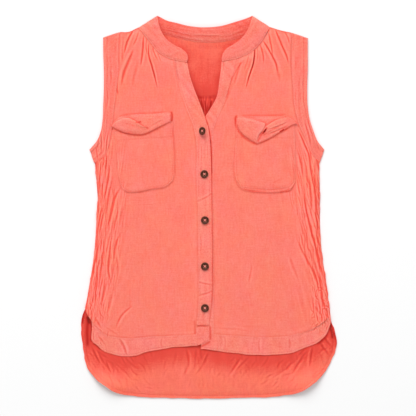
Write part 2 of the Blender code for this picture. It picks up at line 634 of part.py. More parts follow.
def make_pocket(name, outline, flip):
    """A patch pocket with rounded lower corners and a turned hem along its top."""
    left, right = ("inner", "outer") if flip else ("outer", "inner")
    plan = patch(smooth_run(outline["top"], 10), smooth_run(outline["bottom"], 10),
                 smooth_run(outline[left], 10), smooth_run(outline[right], 10))
    flat = np.zeros(plan.shape[:2])
    slab(name, plan, flat + POCKET_LEVEL, flat, CORAL, CLOTH)


def make_flap(name, outline, bumps):
    """A pocket flap that has crumpled: it lies on the front at its seam and on the pocket below it."""
    plan = trimmed(patch(smooth_run(outline["seam"], 18), smooth_run(outline["edge"], 18),
                         smooth_run(outline["start"], 8), smooth_run(outline["end"], 8)))
    down = away(plan, outline["seam"])
    level = POCKET_LEVEL + (FLAP_LEVEL - POCKET_LEVEL) * ease(down / FLAP_STEP)
    relief = lobes(plan, bumps) * ease(down / FLAP_STEP)
    slab(name, plan, level, relief, CORAL, CLOTH)


def make_button(row):
    made = bmesh.new()
    rings = []
    for point in BUTTON_PROFILE:
        radius, height = point.radius * BUTTON_WIDTH / 2 * MM, point.height * BUTTON_THICKNESS * MM
        turns = [2 * math.pi * side / BUTTON_SIDES for side in range(BUTTON_SIDES)]
        rings.append([made.verts.new((radius * math.cos(turn), radius * math.sin(turn), height))
                      for turn in turns])
    made.faces.new(rings[0][::-1])
    made.faces.new(rings[-1])
    for low, high in zip(rings, rings[1:]):
        for side in range(BUTTON_SIDES):
            after = (side + 1) % BUTTON_SIDES
            made.faces.new((low[side], low[after], high[after], high[side]))
    button = add_object(row.name, made, HORN)
    tilt = math.radians(row.tilt)
    seat = LAP_LEVEL + DOUBLE + LAYER_GAP + 0.43 * BUTTON_WIDTH * math.sin(tilt)
    button.location = (row.x * MM, row.y * MM, seat * MM)
    button.rotation_euler = (0.0, -tilt, 0.0)


def centre(parent):
    """Moves all pieces so that the middle of their box is over the origin."""
    bpy.context.view_layer.update()
    corners = np.array([piece.matrix_world @ vertex.co for piece in parent.children
                        for vertex in piece.data.vertices])
    middle = (corners.min(axis=0) + corners.max(axis=0)) / 2
    parent.location = (-middle[0], -middle[1], 0.0)


for old in list(bpy.data.objects):
    bpy.data.objects.remove(old, do_unlink=True)
blouse = bpy.data.objects.new("blouse", None)
bpy.context.scene.collection.objects.link(blouse)

make_back()
make_front_right()
make_front_left()
make_armhole_band("armhole_band_right", ARM_SEAM_RIGHT, ARM_EDGE_RIGHT)
make_armhole_band("armhole_band_left", ARM_SEAM_LEFT, ARM_EDGE_LEFT)
make_collar()
make_neck_bands()
make_plackets()
make_hem_bands()
make_pocket("pocket_right", POCKET_RIGHT, flip=False)
make_pocket("pocket_left", POCKET_LEFT, flip=True)
make_flap("flap_right", FLAP_RIGHT, FLAP_LOBES_RIGHT)
make_flap("flap_left", FLAP_LEFT, FLAP_LOBES_LEFT)
for button_row in BUTTONS:
    make_button(button_row)
centre(blouse)
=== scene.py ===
# %% [markdown]
# # A sleeveless blouse with a band collar
#
# The blouse lies on its back on a white table, and the camera looks straight down at it.  The solid model
# gives every piece its place.  Here each piece of cloth is made again as a thin wall on that form, with its
# creases, gathers and stitching, and the buttons get holes and thread.

# %% Tools, and the solid model as a fixed frame
import json
import math
from collections import namedtuple

import bpy
import numpy as np
from mathutils import Matrix, Vector

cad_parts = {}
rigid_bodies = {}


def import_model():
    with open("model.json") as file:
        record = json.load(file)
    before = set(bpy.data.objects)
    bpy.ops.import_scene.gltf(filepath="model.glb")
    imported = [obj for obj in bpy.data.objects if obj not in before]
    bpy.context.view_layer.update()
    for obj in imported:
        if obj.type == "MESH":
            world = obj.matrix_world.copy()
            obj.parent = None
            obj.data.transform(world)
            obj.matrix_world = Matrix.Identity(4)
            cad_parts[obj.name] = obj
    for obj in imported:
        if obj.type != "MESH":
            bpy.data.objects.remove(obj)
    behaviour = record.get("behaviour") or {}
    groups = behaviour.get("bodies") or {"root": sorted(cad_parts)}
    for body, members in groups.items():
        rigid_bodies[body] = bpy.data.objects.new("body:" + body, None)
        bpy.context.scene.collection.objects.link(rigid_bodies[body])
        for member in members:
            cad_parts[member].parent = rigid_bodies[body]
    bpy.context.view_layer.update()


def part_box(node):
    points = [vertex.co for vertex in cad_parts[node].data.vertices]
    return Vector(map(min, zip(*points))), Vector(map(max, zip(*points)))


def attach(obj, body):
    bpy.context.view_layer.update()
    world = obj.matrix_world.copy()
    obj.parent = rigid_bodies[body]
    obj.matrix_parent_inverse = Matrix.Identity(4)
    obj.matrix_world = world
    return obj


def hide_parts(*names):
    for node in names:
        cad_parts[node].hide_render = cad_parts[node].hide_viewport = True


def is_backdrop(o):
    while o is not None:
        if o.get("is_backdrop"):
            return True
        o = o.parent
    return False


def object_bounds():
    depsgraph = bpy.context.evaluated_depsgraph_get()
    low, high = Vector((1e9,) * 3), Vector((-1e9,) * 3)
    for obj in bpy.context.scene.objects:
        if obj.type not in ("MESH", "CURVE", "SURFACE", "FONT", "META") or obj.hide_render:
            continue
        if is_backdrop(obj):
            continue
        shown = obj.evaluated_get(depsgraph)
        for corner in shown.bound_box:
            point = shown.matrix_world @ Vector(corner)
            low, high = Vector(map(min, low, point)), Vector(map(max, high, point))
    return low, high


MM = 0.001

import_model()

# %% [markdown]
# ## The garment's own coordinates
#
# A pattern is drawn from the centre front and the lowest point of the back hem, so the tables below are in
# millimetres from there: X towards the wearer's left, Y towards the neck, Z up from the table.  A button's
# place in the solid model ties those coordinates to the frame.

# %% Where the garment's coordinates lie in the frame
THIRD_BUTTON = (-1.0, 321.0)

low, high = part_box("button_3")
SHIFT = np.array([(low.x + high.x) / 2 / MM - THIRD_BUTTON[0], (low.y + high.y) / 2 / MM - THIRD_BUTTON[1],
                  0.0])
print("garment to frame, mm:", SHIFT.round(2))

# %% Levels of the layers, as in the solid model
CLOTH = 1.2            # one layer
DOUBLE = 1.4           # bands and plackets, folded double
COLLAR = 1.6
LAYER_GAP = 0.3
FRONT_LEVEL = 2.8      # underside of the fronts
SEAM_LEVEL = CLOTH     # underside of the fronts where they are sewn to the back
LAP_LEVEL = FRONT_LEVEL + DOUBLE + LAYER_GAP
POCKET_LEVEL = FRONT_LEVEL + CLOTH + LAYER_GAP
FLAP_LEVEL = POCKET_LEVEL + CLOTH + LAYER_GAP
TUCK = 1.5             # how far a panel runs on under the band that is sewn over its edge

# %% [markdown]
# ## Outlines
#
# Each seam and edge is a short list of points, and a smooth line is drawn through them.  "right" and "left"
# are the wearer's, so the right front is on the left of the picture.

# %% Seams and edges
def table(columns, *rows):
    """Rows with named columns."""
    Row = namedtuple("Row", columns)
    return [Row(*row) for row in rows]


YOKE_SEAM = 546
CROSS_SEAM = 493       # where the neck bands meet the plackets
UNDER_SEAM = 485
PLACKET_END = 132
LAP_START, LAP_WHOLE = 572, 520

SHOULDER_RIGHT = table("x y", (-154, 658), (-140, 658), (-120, 666.5))
SHOULDER_LEFT = table("x y", (116, 667), (135, 661), (154, 657))
ARM_SEAM_RIGHT = table("x y", (-154, 658), (-156, 623), (-156, 594), (-160, 557), (-164, 522), (-168, 490),
                       (-173, 459), (-181, 436), (-199, 424))
ARM_SEAM_LEFT = table("x y", (154, 657), (154, 602), (157, 557), (160, 522), (167, 496), (180, 466),
                      (190, 442), (205, 425))
ARM_EDGE_RIGHT = table("x y", (-184, 648), (-184, 624), (-183, 595), (-183, 555), (-184, 530), (-185, 505),
                       (-188, 483), (-195, 465), (-208, 449))
ARM_EDGE_LEFT = table("x y", (184, 647), (184, 624), (184, 595), (183, 555), (184, 526), (188, 501),
                      (194, 483), (201, 465), (213, 449))
SIDE_RIGHT = table("x y", (-199, 424), (-198, 406), (-194, 372), (-195, 343), (-197, 312), (-199, 278),
                   (-202, 249), (-209, 206), (-214, 177), (-217, 164))
SIDE_LEFT = table("x y", (205, 425), (205, 408), (206, 372), (206, 321), (208, 278), (211, 249),
                  (217, 213), (221, 180), (225, 150))
VENT_RIGHT = table("x y", (-217, 164), (-213, 152), (-205, 140))
NECK_SEAM_RIGHT = table("x y", (-120, 666.5), (-102, 643), (-82, 620), (-65, 611), (-58, 609))
NECK_SEAM_LEFT = table("x y", (60, 612), (78, 620), (98, 637), (108, 652), (116, 667))
NECK_SEAM_BACK = table("x y", (-120, 666.5), (-95, 661), (-73, 655), (-55, 649), (-28, 642.6), (0, 640),
                       (26, 641), (53, 645), (73, 652), (92, 659), (116, 667))
BAND_OUTER_RIGHT = table("x y", (-58, 609), (-54, 588), (-46, 553), (-34, 519), (-23, CROSS_SEAM))
BAND_INNER_RIGHT = table("x y", (-32.5, 604), (-28, 581), (-20, 557), (-11, 534), (-1, 507), (3, CROSS_SEAM))
BAND_OUTER_LEFT = table("x y", (60, 612), (48, 565), (32, 527), (20, 500), (15, UNDER_SEAM))
BAND_INNER_LEFT = table("x y", (28.5, 605.5), (28, 598), (25, 574), (20, 543), (10, 524), (-1, 507),
                        (-9, CROSS_SEAM))
PLACKET_OUTER = table("x y", (-23, CROSS_SEAM), (-17.5, 465), (-17, 402), (-14, 323), (-13.5, 238),
                      (-13, 177), (-16, PLACKET_END))
PLACKET_INNER = table("x y", (4, CROSS_SEAM), (7, 475), (9.5, 447), (10.5, 404), (11.5, 323), (12, 238),
                      (11, 177), (6, PLACKET_END))
UNDERLAP_OUTER = table("x y", (15, UNDER_SEAM), (15, 300), (15, 116))
UNDERLAP_INNER = table("x y", (-9, CROSS_SEAM), (-9, 300), (-9, 116))
FRONT_CORNER_RIGHT = (-17, 116)
HEM_SEAM_RIGHT = table("x y", (-205, 140), (-194, 127), (-178, 115), (-153, 110), (-92, 112), (-17, 116))
HEM_SEAM_LEFT = table("x y", (15, 116), (46, 114), (102, 111), (147, 113), (190, 126), (213, 140), (225, 150))
HEM_EDGE_RIGHT = table("x y", (-204, 126), (-205, 112), (-204, 103), (-196, 96), (-181, 84), (-168, 80),
                       (-152, 76), (-127, 77), (-107, 83), (-77, 89), (-47, 93), (-17, 95))
HEM_EDGE_LEFT = table("x y", (-8, 89), (13, 87), (58, 81), (102, 78), (132, 79), (155, 82), (181, 92),
                      (206, 103), (218, 116), (223, 128), (226, 139))
TAIL_SIDE_RIGHT = table("x y", (-217, 164), (-222, 148), (-224, 132), (-224, 118), (-222, 98), (-219, 79),
                        (-212, 55), (-196, 35))
TAIL_SIDE_LEFT = table("x y", (225, 150), (227, 138), (231, 127), (235, 112), (236, 99), (233, 84), (228, 71),
                       (217, 50), (200, 31))
TAIL_HEM = table("x y", (-196, 35), (-180, 22), (-165, 12), (-125, 4), (-64, 1), (0, 0), (62, 1),
                 (129, 4), (172, 12), (200, 31))
TAIL_EDGE = TAIL_SIDE_RIGHT + TAIL_HEM[1:] + TAIL_SIDE_LEFT[-2::-1]

# %% Pocket and flap outlines
POCKET_RIGHT = dict(
    top=[(-168, 491), (-112, 497), (-58, 499)],
    outer=[(-168, 491), (-164, 473), (-161, 447), (-157, 400), (-151, 378)],
    inner=[(-58, 499), (-57, 470), (-55, 436), (-55, 408), (-58, 392)],
    bottom=[(-151, 378), (-143, 372), (-125, 371), (-98, 376), (-70, 381), (-58, 392)],
)
POCKET_LEFT = dict(
    top=[(55, 498), (108, 498), (161, 497)],
    outer=[(161, 497), (162, 470), (162, 436), (162, 410), (161, 390)],
    inner=[(55, 498), (52, 450), (51, 418), (52, 402), (57, 386)],
    bottom=[(57, 386), (65, 377), (78, 373), (94, 371), (118, 370), (139, 372), (154, 377), (161, 390)],
)
FLAP_RIGHT = dict(
    seam=[(-154, 508), (-125, 512), (-91, 513), (-63, 516)],
    start=[(-154, 508), (-164, 501), (-170, 490)],
    end=[(-63, 516), (-61, 507), (-62, 498)],
    edge=[(-170, 490), (-153, 481), (-139, 477), (-125, 475), (-109, 476), (-98, 481), (-84, 488), (-70, 495),
          (-62, 498)],
)
FLAP_LEFT = dict(
    seam=[(57, 508), (87, 508), (117, 508), (148, 509)],
    start=[(57, 508), (55.5, 500), (57, 491)],
    end=[(148, 509), (158, 503), (166, 495)],
    edge=[(57, 491), (62, 481), (71, 472), (83, 464), (93, 459), (104, 463), (117, 469), (132, 478),
          (144, 485), (154, 491), (166, 495)],
)

# %% Smooth lines and grids between them
def ease(value):
    """0 below 0, 1 above 1 and smooth between."""
    value = np.clip(value, 0.0, 1.0)
    return value * value * (3.0 - 2.0 * value)


def bell(value, width):
    """1 at 0, and falling away on both sides over the width."""
    return np.exp(-((value / width) ** 2))


def read_off(value, rows):
    """The second column of a table, read off at a value of its first."""
    return np.interp(value, *zip(*rows))


def smooth_run(points, cells, bunch=1.0):
    """cells + 1 points on a smooth curve through the given ones; bunch over 1 draws them to its start."""
    points = np.array([tuple(point) for point in points], float)
    reach = np.append(0.0, np.cumsum(np.linalg.norm(np.diff(points, axis=0), axis=1)))
    slope = np.gradient(points, reach, axis=0)
    fine = np.linspace(0.0, reach[-1], 24 * len(points))
    span = np.clip(np.searchsorted(reach, fine, side="right") - 1, 0, len(points) - 2)
    width = (reach[span + 1] - reach[span])[:, None]
    t = (fine - reach[span])[:, None] / width
    curve = (
        (1 + 2 * t) * (1 - t) ** 2 * points[span]
        + t * (1 - t) ** 2 * width * slope[span]
        + t * t * (3 - 2 * t) * points[span + 1]
        + t * t * (t - 1) * width * slope[span + 1]
    )
    length = np.append(0.0, np.cumsum(np.linalg.norm(np.diff(curve, axis=0), axis=1)))
    wanted = length[-1] * np.linspace(0.0, 1.0, cells + 1) ** bunch
    return np.stack([np.interp(wanted, length, axis) for axis in curve.T], axis=-1)


def joined(*runs):
    """One line from several that meet at corners."""
    return np.concatenate([runs[0]] + [run[1:] for run in runs[1:]])


def patch(top, bottom, left, right):
    """Grid of points between four edges: rows from top to bottom, columns from left to right."""
    u = np.linspace(0.0, 1.0, len(top))[None, :, None]
    v = np.linspace(0.0, 1.0, len(left))[:, None, None]
    between = (1 - v) * top[None] + v * bottom[None]
    beside_it = (1 - u) * left[:, None] + u * right[:, None]
    corners = (1 - v) * ((1 - u) * top[0] + u * top[-1]) + v * ((1 - u) * bottom[0] + u * bottom[-1])
    return between + beside_it - corners


def grown(plan, top=0.0, bottom=0.0, left=0.0, right=0.0):
    """The grid with its outer points moved outwards, to run on under the next piece."""
    plan = plan.copy()
    for edge, inner, reach in ((plan[0], plan[1], top), (plan[-1], plan[-2], bottom),
                               (plan[:, 0], plan[:, 1], left), (plan[:, -1], plan[:, -2], right)):
        step = edge - inner
        edge += reach * step / np.linalg.norm(step, axis=-1, keepdims=True)
    return plan


def rippled(plan, edge, amount, seed):
    """The grid with its points beside an edge moved in and out: a washed edge is never a clean curve."""
    near = amount * np.exp(-away(plan, edge) / 5)
    x, y = plan[..., 0], plan[..., 1]
    return plan + np.dstack([near * noise(y / 9, 0 * x, seed), 0.7 * near * noise(x / 12, 0 * y, seed + 1)])


def beside(plan, line):
    """For each point of a grid: how far it is to the left of a line, and how far along, from 0 to 1."""
    start, run = line[:-1], np.diff(line, axis=0)
    offset = plan[..., None, :] - start
    share = np.clip((offset * run).sum(-1) / (run**2).sum(-1), 0.0, 1.0)
    distance = np.linalg.norm(offset - share[..., None] * run, axis=-1)
    best = distance.argmin(-1)[..., None]
    side = np.sign(run[..., 0] * offset[..., 1] - run[..., 1] * offset[..., 0])
    along = (best + np.take_along_axis(share, best, -1)) / len(run)
    return np.take_along_axis(distance * side, best, -1)[..., 0], along[..., 0]


def away(plan, points):
    return abs(beside(plan, smooth_run(points, 30))[0])


# %% [markdown]
# ## Creases
#
# Washed viscose has a memory: sharp little troughs with a low ridge on each side, long beside the side seams
# and short under the collar.  A cloth simulation would make folds of its own, so the main ones are listed
# one by one: a crease is a line, a width, a depth and a lean, which makes one of its ridges the higher one.
# Small ones beside them come from a loop.

# %% Creases, loose edges and slow unevenness
def noise(x, y, seed):
    """Smooth values from -1 to 1 that change about once a unit."""
    lattice = np.random.default_rng(seed).uniform(-1.0, 1.0, (128, 128))
    column, row = np.floor(x).astype(int), np.floor(y).astype(int)
    across, up = ease(x - column), ease(y - row)
    near, far = lattice[column % 128, row % 128], lattice[(column + 1) % 128, row % 128]
    near_up, far_up = lattice[column % 128, (row + 1) % 128], lattice[(column + 1) % 128, (row + 1) % 128]
    return (near * (1 - across) + far * across) * (1 - up) + (near_up * (1 - across) + far_up * across) * up


def uneven(plan, across, up, seed):
    """Noise over a grid that changes about once in each of these distances."""
    return noise(plan[..., 0] / across, plan[..., 1] / up, seed)


def close_to(plan, line, reach):
    """Which points of a grid lie in a line's box, grown by the reach."""
    return ((plan > line.min(axis=0) - reach) & (plan < line.max(axis=0) + reach)).all(axis=-1)


def faded(along, ends):
    """1 along the middle of a line and 0 at its two ends; the ends are a share of its length."""
    return ease(np.minimum(along, 1 - along) / ends)


Crease = namedtuple("Crease", "line width depth lean")
CREASE_ENDS = 0.32     # share of a crease's length over which it fades at each end
RIDGE_PLACE, RIDGE_WIDTH, RIDGE_SHARE = 1.9, 1.25, 0.8


def creases(*rows):
    return [Crease(*row) for row in rows]


def creased(plan, rows, ridge=RIDGE_SHARE):
    """Height that creases add to a grid."""
    height = np.zeros(plan.shape[:2])
    for crease in rows:
        line = smooth_run(crease.line, 12)
        near = close_to(plan, line, 5 * crease.width)
        if not near.any():
            continue
        across, along = beside(plan[near], line)
        fade = faded(along, CREASE_ENDS)
        u = across / (0.6 * crease.width * (0.55 + 0.45 * fade))
        ridges = sum((0.5 + side * crease.lean) * bell(u - side * RIDGE_PLACE, RIDGE_WIDTH)
                     for side in (1, -1))
        height[near] += 0.75 * crease.depth * fade * (ridge * ridges - bell(u, 1))
    return height


Lip = namedtuple("Lip", "line height edge reach")
LIP_ENDS = 0.22


def lips(*rows):
    return [Lip(*row) for row in rows]


def lipped(plan, rows):
    """Height of cloth that stands over its neighbour: high on the left of each line, and low on its right."""
    height = np.zeros(plan.shape[:2])
    for lip in rows:
        across, along = beside(plan, smooth_run(lip.line, 16))
        height += lip.height * faded(along, LIP_ENDS) * ease(across / lip.edge) * bell(across, lip.reach)
    return height


def side_crinkles(seed, count, side, inward, slope, depth, reaches):
    """Short creases beside a side seam, thickest near it, that lean by the slope.  The reaches say how far
    from the seam they go at each height."""
    pick = np.random.default_rng(seed)
    edge = smooth_run(side, 60)[::-1]
    rows = []
    for _ in range(count):
        y = pick.uniform(140, 455)
        from_edge = 2 + read_off(y, reaches) * pick.uniform() ** 1.6
        x = np.interp(y, edge[:, 1], edge[:, 0]) + inward * from_edge
        length = pick.uniform(12, 62)
        tilt = slope + pick.normal(0, 0.07)
        bend = pick.normal(0, 1.2)
        lean, half = tilt * length / 2, length / 2
        line = [(x - lean, y + half), (x + bend, y), (x + lean, y - half)]
        rows.append(Crease(line, pick.uniform(1.1, 2.0),
                           depth * pick.uniform(0.3, 1.0) * math.exp(-((from_edge / 52) ** 2)),
                           pick.uniform(-0.3, 0.3)))
    return rows


def scattered(seed, count, across, up, tilt, spread, length, width, depth):
    """Small creases scattered over a box, running down and leaning right by the tilt, in degrees."""
    pick = np.random.default_rng(seed)
    rows = []
    for _ in range(count):
        x, y = pick.uniform(*across), pick.uniform(*up)
        turn = math.radians(tilt + pick.normal(0, spread))
        half = pick.uniform(0.4, 1.0) * length / 2
        right, down, bend = half * math.sin(turn), half * math.cos(turn), pick.normal(0, 0.07 * length)
        line = [(x - right, y + down), (x + bend, y), (x + right, y - down)]
        rows.append(Crease(line, pick.uniform(0.75, 1.2) * width, depth * pick.uniform(0.3, 1.0),
                           pick.uniform(-0.3, 0.3)))
    return rows


def blurred(field, cells):
    """A grid's values with each one mixed into its neighbours."""
    for axis in (0, 1):
        for _ in range(2):
            padded = np.pad(field, [(cells, cells) if a == axis else (0, 0) for a in (0, 1)], mode="edge")
            total = np.cumsum(np.insert(padded, 0, 0.0, axis=axis), axis=axis)
            size = field.shape[axis]
            upper = np.take(total, np.arange(2 * cells + 1, 2 * cells + 1 + size), axis=axis)
            field = (upper - np.take(total, np.arange(size), axis=axis)) / (2 * cells + 1)
    return field


def painted_crease_shade(top, cells=4, strength=1.3):
    """How deep each point lies below the cloth around it: 0.5 on level cloth, 1 in a trough, 0 on a ridge.
    The colour is painted darker by it, as shade in the creases.
    """
    broad = blurred(top, 3 * cells)
    return np.clip(0.5 + strength * (blurred(top, cells) - top) + 0.15 * strength * (broad - top), 0.0, 1.0)


Shade = namedtuple("Shade", "line width depth")
SHADE_ENDS = 0.15


def shades(*rows):
    return [Shade(*row) for row in rows]


def shaded(plan, rows):
    """Painted shade: how much deeper the colour is along lines where one layer leaves another in the dark."""
    shade = np.zeros(plan.shape[:2])
    for row in rows:
        line = smooth_run(row.line, 16)
        near = close_to(plan, line, 3 * row.width)
        if near.any():
            across, along = beside(plan[near], line)
            shade[near] += row.depth * faded(along, SHADE_ENDS) * bell(across, row.width)
    return shade


def painted_trough_lines(rows, share, least=1.0):
    """Painted shade: a dark line at the bottom of the creases that are deeper than the least depth."""
    return [Shade(crease.line, 0.9, share * crease.depth) for crease in rows if crease.depth > least]


# %% [markdown]
# ## Finishes
#
# The cloth is plain-woven viscose, garment-dyed.  Its colour is painted a little deeper in the troughs than
# on the ridges: painted shade.  Each wall of cloth carries a UV map in metres that follows its threads, and
# an attribute of painted shade: how deep each point lies in its creases, with shaded lines added.  The
# shader reads both: the colour comes from that painted shade, and the bump from fine crinkles along the
# warp, the crepe of the yarn and the weave.

# %% Shader maths written as Python expressions
class Wire:
    """A socket of a shader tree that takes part in sums as a number does."""

    def __init__(self, tree, socket):
        self.tree, self.socket = tree, socket

    def maths(self, operation, first, second=0.5):
        node = self.tree.nodes.new("ShaderNodeMath")
        node.operation = operation
        for place, value in enumerate((first, second)):
            if isinstance(value, Wire):
                self.tree.links.new(value.socket, node.inputs[place])
            else:
                node.inputs[place].default_value = value
        return Wire(self.tree, node.outputs[0])

    def __add__(self, other):
        return self.maths("ADD", self, other)

    __radd__ = __add__

    def __sub__(self, other):
        return self.maths("SUBTRACT", self, other)

    def __rsub__(self, other):
        return self.maths("SUBTRACT", other, self)

    def __mul__(self, other):
        return self.maths("MULTIPLY", self, other)

    __rmul__ = __mul__

    def sine(self):
        return self.maths("SINE", self)

    def clamped(self):
        return self.maths("MINIMUM", self.maths("MAXIMUM", self, 0.0), 1.0)


class Finish:
    """A material with one Principled shader."""

    def __init__(self, name, **sockets):
        self.material = bpy.data.materials.new(name)
        self.material.use_nodes = True
        self.tree = self.material.node_tree
        self.shader = self.tree.nodes["Principled BSDF"]
        for socket, value in sockets.items():
            self.shader.inputs[socket.replace("_", " ")].default_value = value

    def node(self, kind, settings=(), out=0, **values):
        """Adds a node: its settings first, and then the values or links of its sockets."""
        node = self.tree.nodes.new("ShaderNode" + kind)
        for setting, value in dict(settings).items():
            setattr(node, setting, value)
        for socket, value in values.items():
            entry = node.inputs[socket.replace("_", " ")]
            if isinstance(value, Wire):
                self.tree.links.new(value.socket, entry)
            else:
                entry.default_value = value
        return Wire(self.tree, node.outputs[out])

    def mixed(self, low, high, factor):
        """From one colour to another as the factor goes from 0 to 1."""
        node = self.tree.nodes.new("ShaderNodeMix")
        node.data_type = "RGBA"
        colours = [socket for socket in node.inputs if socket.type == "RGBA"]
        for entry, colour in zip(colours, (low, high)):
            if isinstance(colour, Wire):
                self.tree.links.new(colour.socket, entry)
            else:
                entry.default_value = (*colour, 1.0)
        self.tree.links.new(factor.socket, node.inputs[0])
        return Wire(self.tree, next(socket for socket in node.outputs if socket.type == "RGBA"))

    def feed(self, **wires):
        for socket, wire in wires.items():
            self.tree.links.new(wire.socket, self.shader.inputs[socket.replace("_", " ")])


# %% The cloth
THREAD_PITCH = 0.0008      # one thread of the weave and the gap beside it
# Painted shade: the colour where hardly any light comes out from between two layers.
GAP_SHADE = (0.10, 0.008, 0.006)     # where hardly any light comes out from between two layers


def cloth_finish(name, ridge, trough_shade, pit_shade, crinkle=1.0, grainy=1.0):
    """Crinkled viscose, from its lit colour on the ridges and its painted shade colours in the troughs and
    between layers.
    """
    cloth = Finish(name, Roughness=0.82, Sheen_Weight=0.05, Sheen_Roughness=0.5, IOR=1.4,
                   Specular_IOR_Level=0.15, Subsurface_Weight=0.5, Subsurface_Radius=(1.0, 0.22, 0.14),
                   Subsurface_Scale=0.0035)
    place = cloth.node("UVMap", {"uv_map": "cloth"})
    depth = cloth.node("Attribute", {"attribute_name": "hollow"}, out=2)

    def grain(across, along, detail):
        stretched = cloth.node("Mapping", Vector=place, Scale=(1 / across, 1 / along, 1.0))
        return cloth.node("TexNoise", Vector=stretched, Scale=1.0, Detail=detail, Roughness=0.55)

    crinkles, crepe = grain(0.0032, 0.016, 2.0), grain(0.0013, 0.0016, 3.0)
    mottle, slubs = grain(0.030, 0.045, 2.0), grain(0.018, 0.0014, 1.0)
    specks, clouds = grain(0.0026, 0.0034, 2.0), grain(0.045, 0.060, 3.0)
    apart = cloth.node("SeparateXYZ", Vector=place)
    along = Wire(cloth.tree, apart.socket.node.outputs[1])
    weave = (apart * (2 * math.pi / THREAD_PITCH)).sine() * (along * (2 * math.pi / THREAD_PITCH)).sine()
    # The light factor mixes painted shade from the attribute with the random grain of the yarn.
    light = 1.15 - depth + (mottle - 0.5) * 0.25 + (crinkles - 0.5) * (0.46 * crinkle)
    light = light + (specks - 0.5) * (0.5 * grainy) + (slubs - 0.5) * 0.42 + (crepe - 0.5) * (0.4 * grainy)
    red, green, blue = ridge
    dyed = cloth.mixed((red, green * 1.02, blue * 0.92), (red, green * 0.98, blue * 1.08),
                       (clouds * 3.0 - 1.0).clamped())
    colour = cloth.mixed(trough_shade, dyed, light.clamped())
    colour = cloth.mixed(colour, pit_shade, (depth - 1.15).clamped())
    cloth.feed(Base_Color=cloth.mixed(colour, GAP_SHADE, (depth * 0.8 - 1.8).clamped()))
    height = crinkles * (0.5 * crinkle) + specks * (0.24 * grainy) + crepe * 0.2 + slubs * 0.05 + weave * 0.02
    cloth.feed(Normal=cloth.node("Bump", Strength=1.0, Distance=MM, Height=height))
    cloth.feed(Roughness=0.74 + crepe * 0.16)
    return cloth.material


# Each cloth's second and third colours are painted shade: in its troughs, and deeper where layers meet.
CORAL = cloth_finish("coral_viscose", (0.90, 0.245, 0.186), (0.82, 0.088, 0.058), (0.60, 0.026, 0.019))
CORAL_BANDS = cloth_finish("coral_viscose_bands", (0.89, 0.253, 0.200), (0.80, 0.098, 0.070),
                           (0.58, 0.030, 0.022), crinkle=0.6, grainy=1.9)
# The back's inner face: a darker, redder copy of the coral, as painted shade for the inside of the garment.
CORAL_SHADED_INSIDE = cloth_finish("coral_viscose_inside", (0.91, 0.190, 0.126), (0.73, 0.072, 0.051),
                            (0.47, 0.018, 0.013))

# %% [markdown]
# ## Walls of cloth
#
# Every piece is a grid of points for its outer face and another for its inner face, closed round the rim.
# A ring has no first and last row, because its rows meet.

# %% From two grids to a closed wall
def placed(name, data):
    """A new object in the scene."""
    made = bpy.data.objects.new(name, data)
    bpy.context.scene.collection.objects.link(made)
    return made


def wall(name, top, under, hollow, finish, uv=None, ring=False, inner_painted_shade=None):
    """A closed mesh between two grids of points in garment coordinates, with its UV map and painted shade.
    The inner grid may be a coarser one: every second or third point of the outer one."""
    step = (top.shape[1] - 1) // (under.shape[1] - 1)
    index, offset, faces = [], 0, []
    for grid, turn in ((top, 1), (under, -1)):
        numbers = offset + np.arange(grid.shape[0] * grid.shape[1]).reshape(grid.shape[:2])
        offset += numbers.size
        numbers = np.concatenate([numbers, numbers[:1]]) if ring else numbers
        corners = np.stack([numbers[:-1, :-1], numbers[1:, :-1], numbers[1:, 1:], numbers[:-1, 1:]], axis=-1)
        faces += corners.reshape(-1, 4)[:, ::turn].tolist()
        index.append(numbers)
    outer, inner = index
    rims = [(outer[:, 0], inner[:, 0]), (outer[::-1, -1], inner[::-1, -1])]
    if not ring:
        rims += [(outer[-1], inner[-1]), (outer[0, ::-1], inner[0, ::-1])]
    for fine, coarse in rims:
        for k in range(len(coarse) - 1):
            stretch = fine[k * step:(k + 1) * step + 1][::-1]
            faces.append([*stretch.tolist(), int(coarse[k]), int(coarse[k + 1])])
    points = (np.concatenate([top.reshape(-1, 3), under.reshape(-1, 3)]) + SHIFT) * MM
    mesh = bpy.data.meshes.new(name)
    mesh.from_pydata(points.tolist(), [], faces)
    uv = top[..., :2] if uv is None else uv
    both = np.concatenate([uv.reshape(-1, 2), uv[::step, ::step].reshape(-1, 2)]) * MM
    corner_points = np.zeros(len(mesh.loops), int)
    mesh.loops.foreach_get("vertex_index", corner_points)
    mesh.uv_layers.new(name="cloth").uv.foreach_set("vector", both[corner_points].reshape(-1))
    # The attribute carries painted shade: creases and shaded lines darken the colour.
    depth = mesh.attributes.new("hollow", "FLOAT", "POINT")
    if inner_painted_shade is None:
        inner_painted_shade = np.full(under.shape[:2], 0.5)
    depth.data.foreach_set("value", np.append(hollow.reshape(-1), inner_painted_shade.reshape(-1)))
    mesh.shade_smooth()
    mesh.set_sharp_from_angle(angle=math.radians(62))
    mesh.materials.append(finish)
    return placed(name, mesh)


def lowest(field, reach):
    """The lowest of the values round each one of a grid."""
    for axis in (0, 1):
        padded = np.pad(field, [(reach, reach) if a == axis else (0, 0) for a in (0, 1)], mode="edge")
        size = field.shape[axis]
        field = np.minimum.reduce([np.take(padded, np.arange(k, k + size), axis=axis)
                                   for k in range(2 * reach + 1)])
    return field


def slab(name, plan, top, finish, hollow, thickness=CLOTH, step=1, painted_under_shade=1.2):
    """A piece that lies nearly flat, under a grid of heights.  Its underside is painted in shade."""
    under = np.maximum(lowest(top, step - 1) - thickness, 0.0)[::step, ::step]
    return wall(name, np.dstack([plan, top]), np.dstack([plan[::step, ::step], under]), hollow, finish,
                inner_painted_shade=np.full(under.shape, painted_under_shade))


def count_triangles(piece):
    print(piece.name, sum(len(face.vertices) - 2 for face in piece.data.polygons), "triangles")


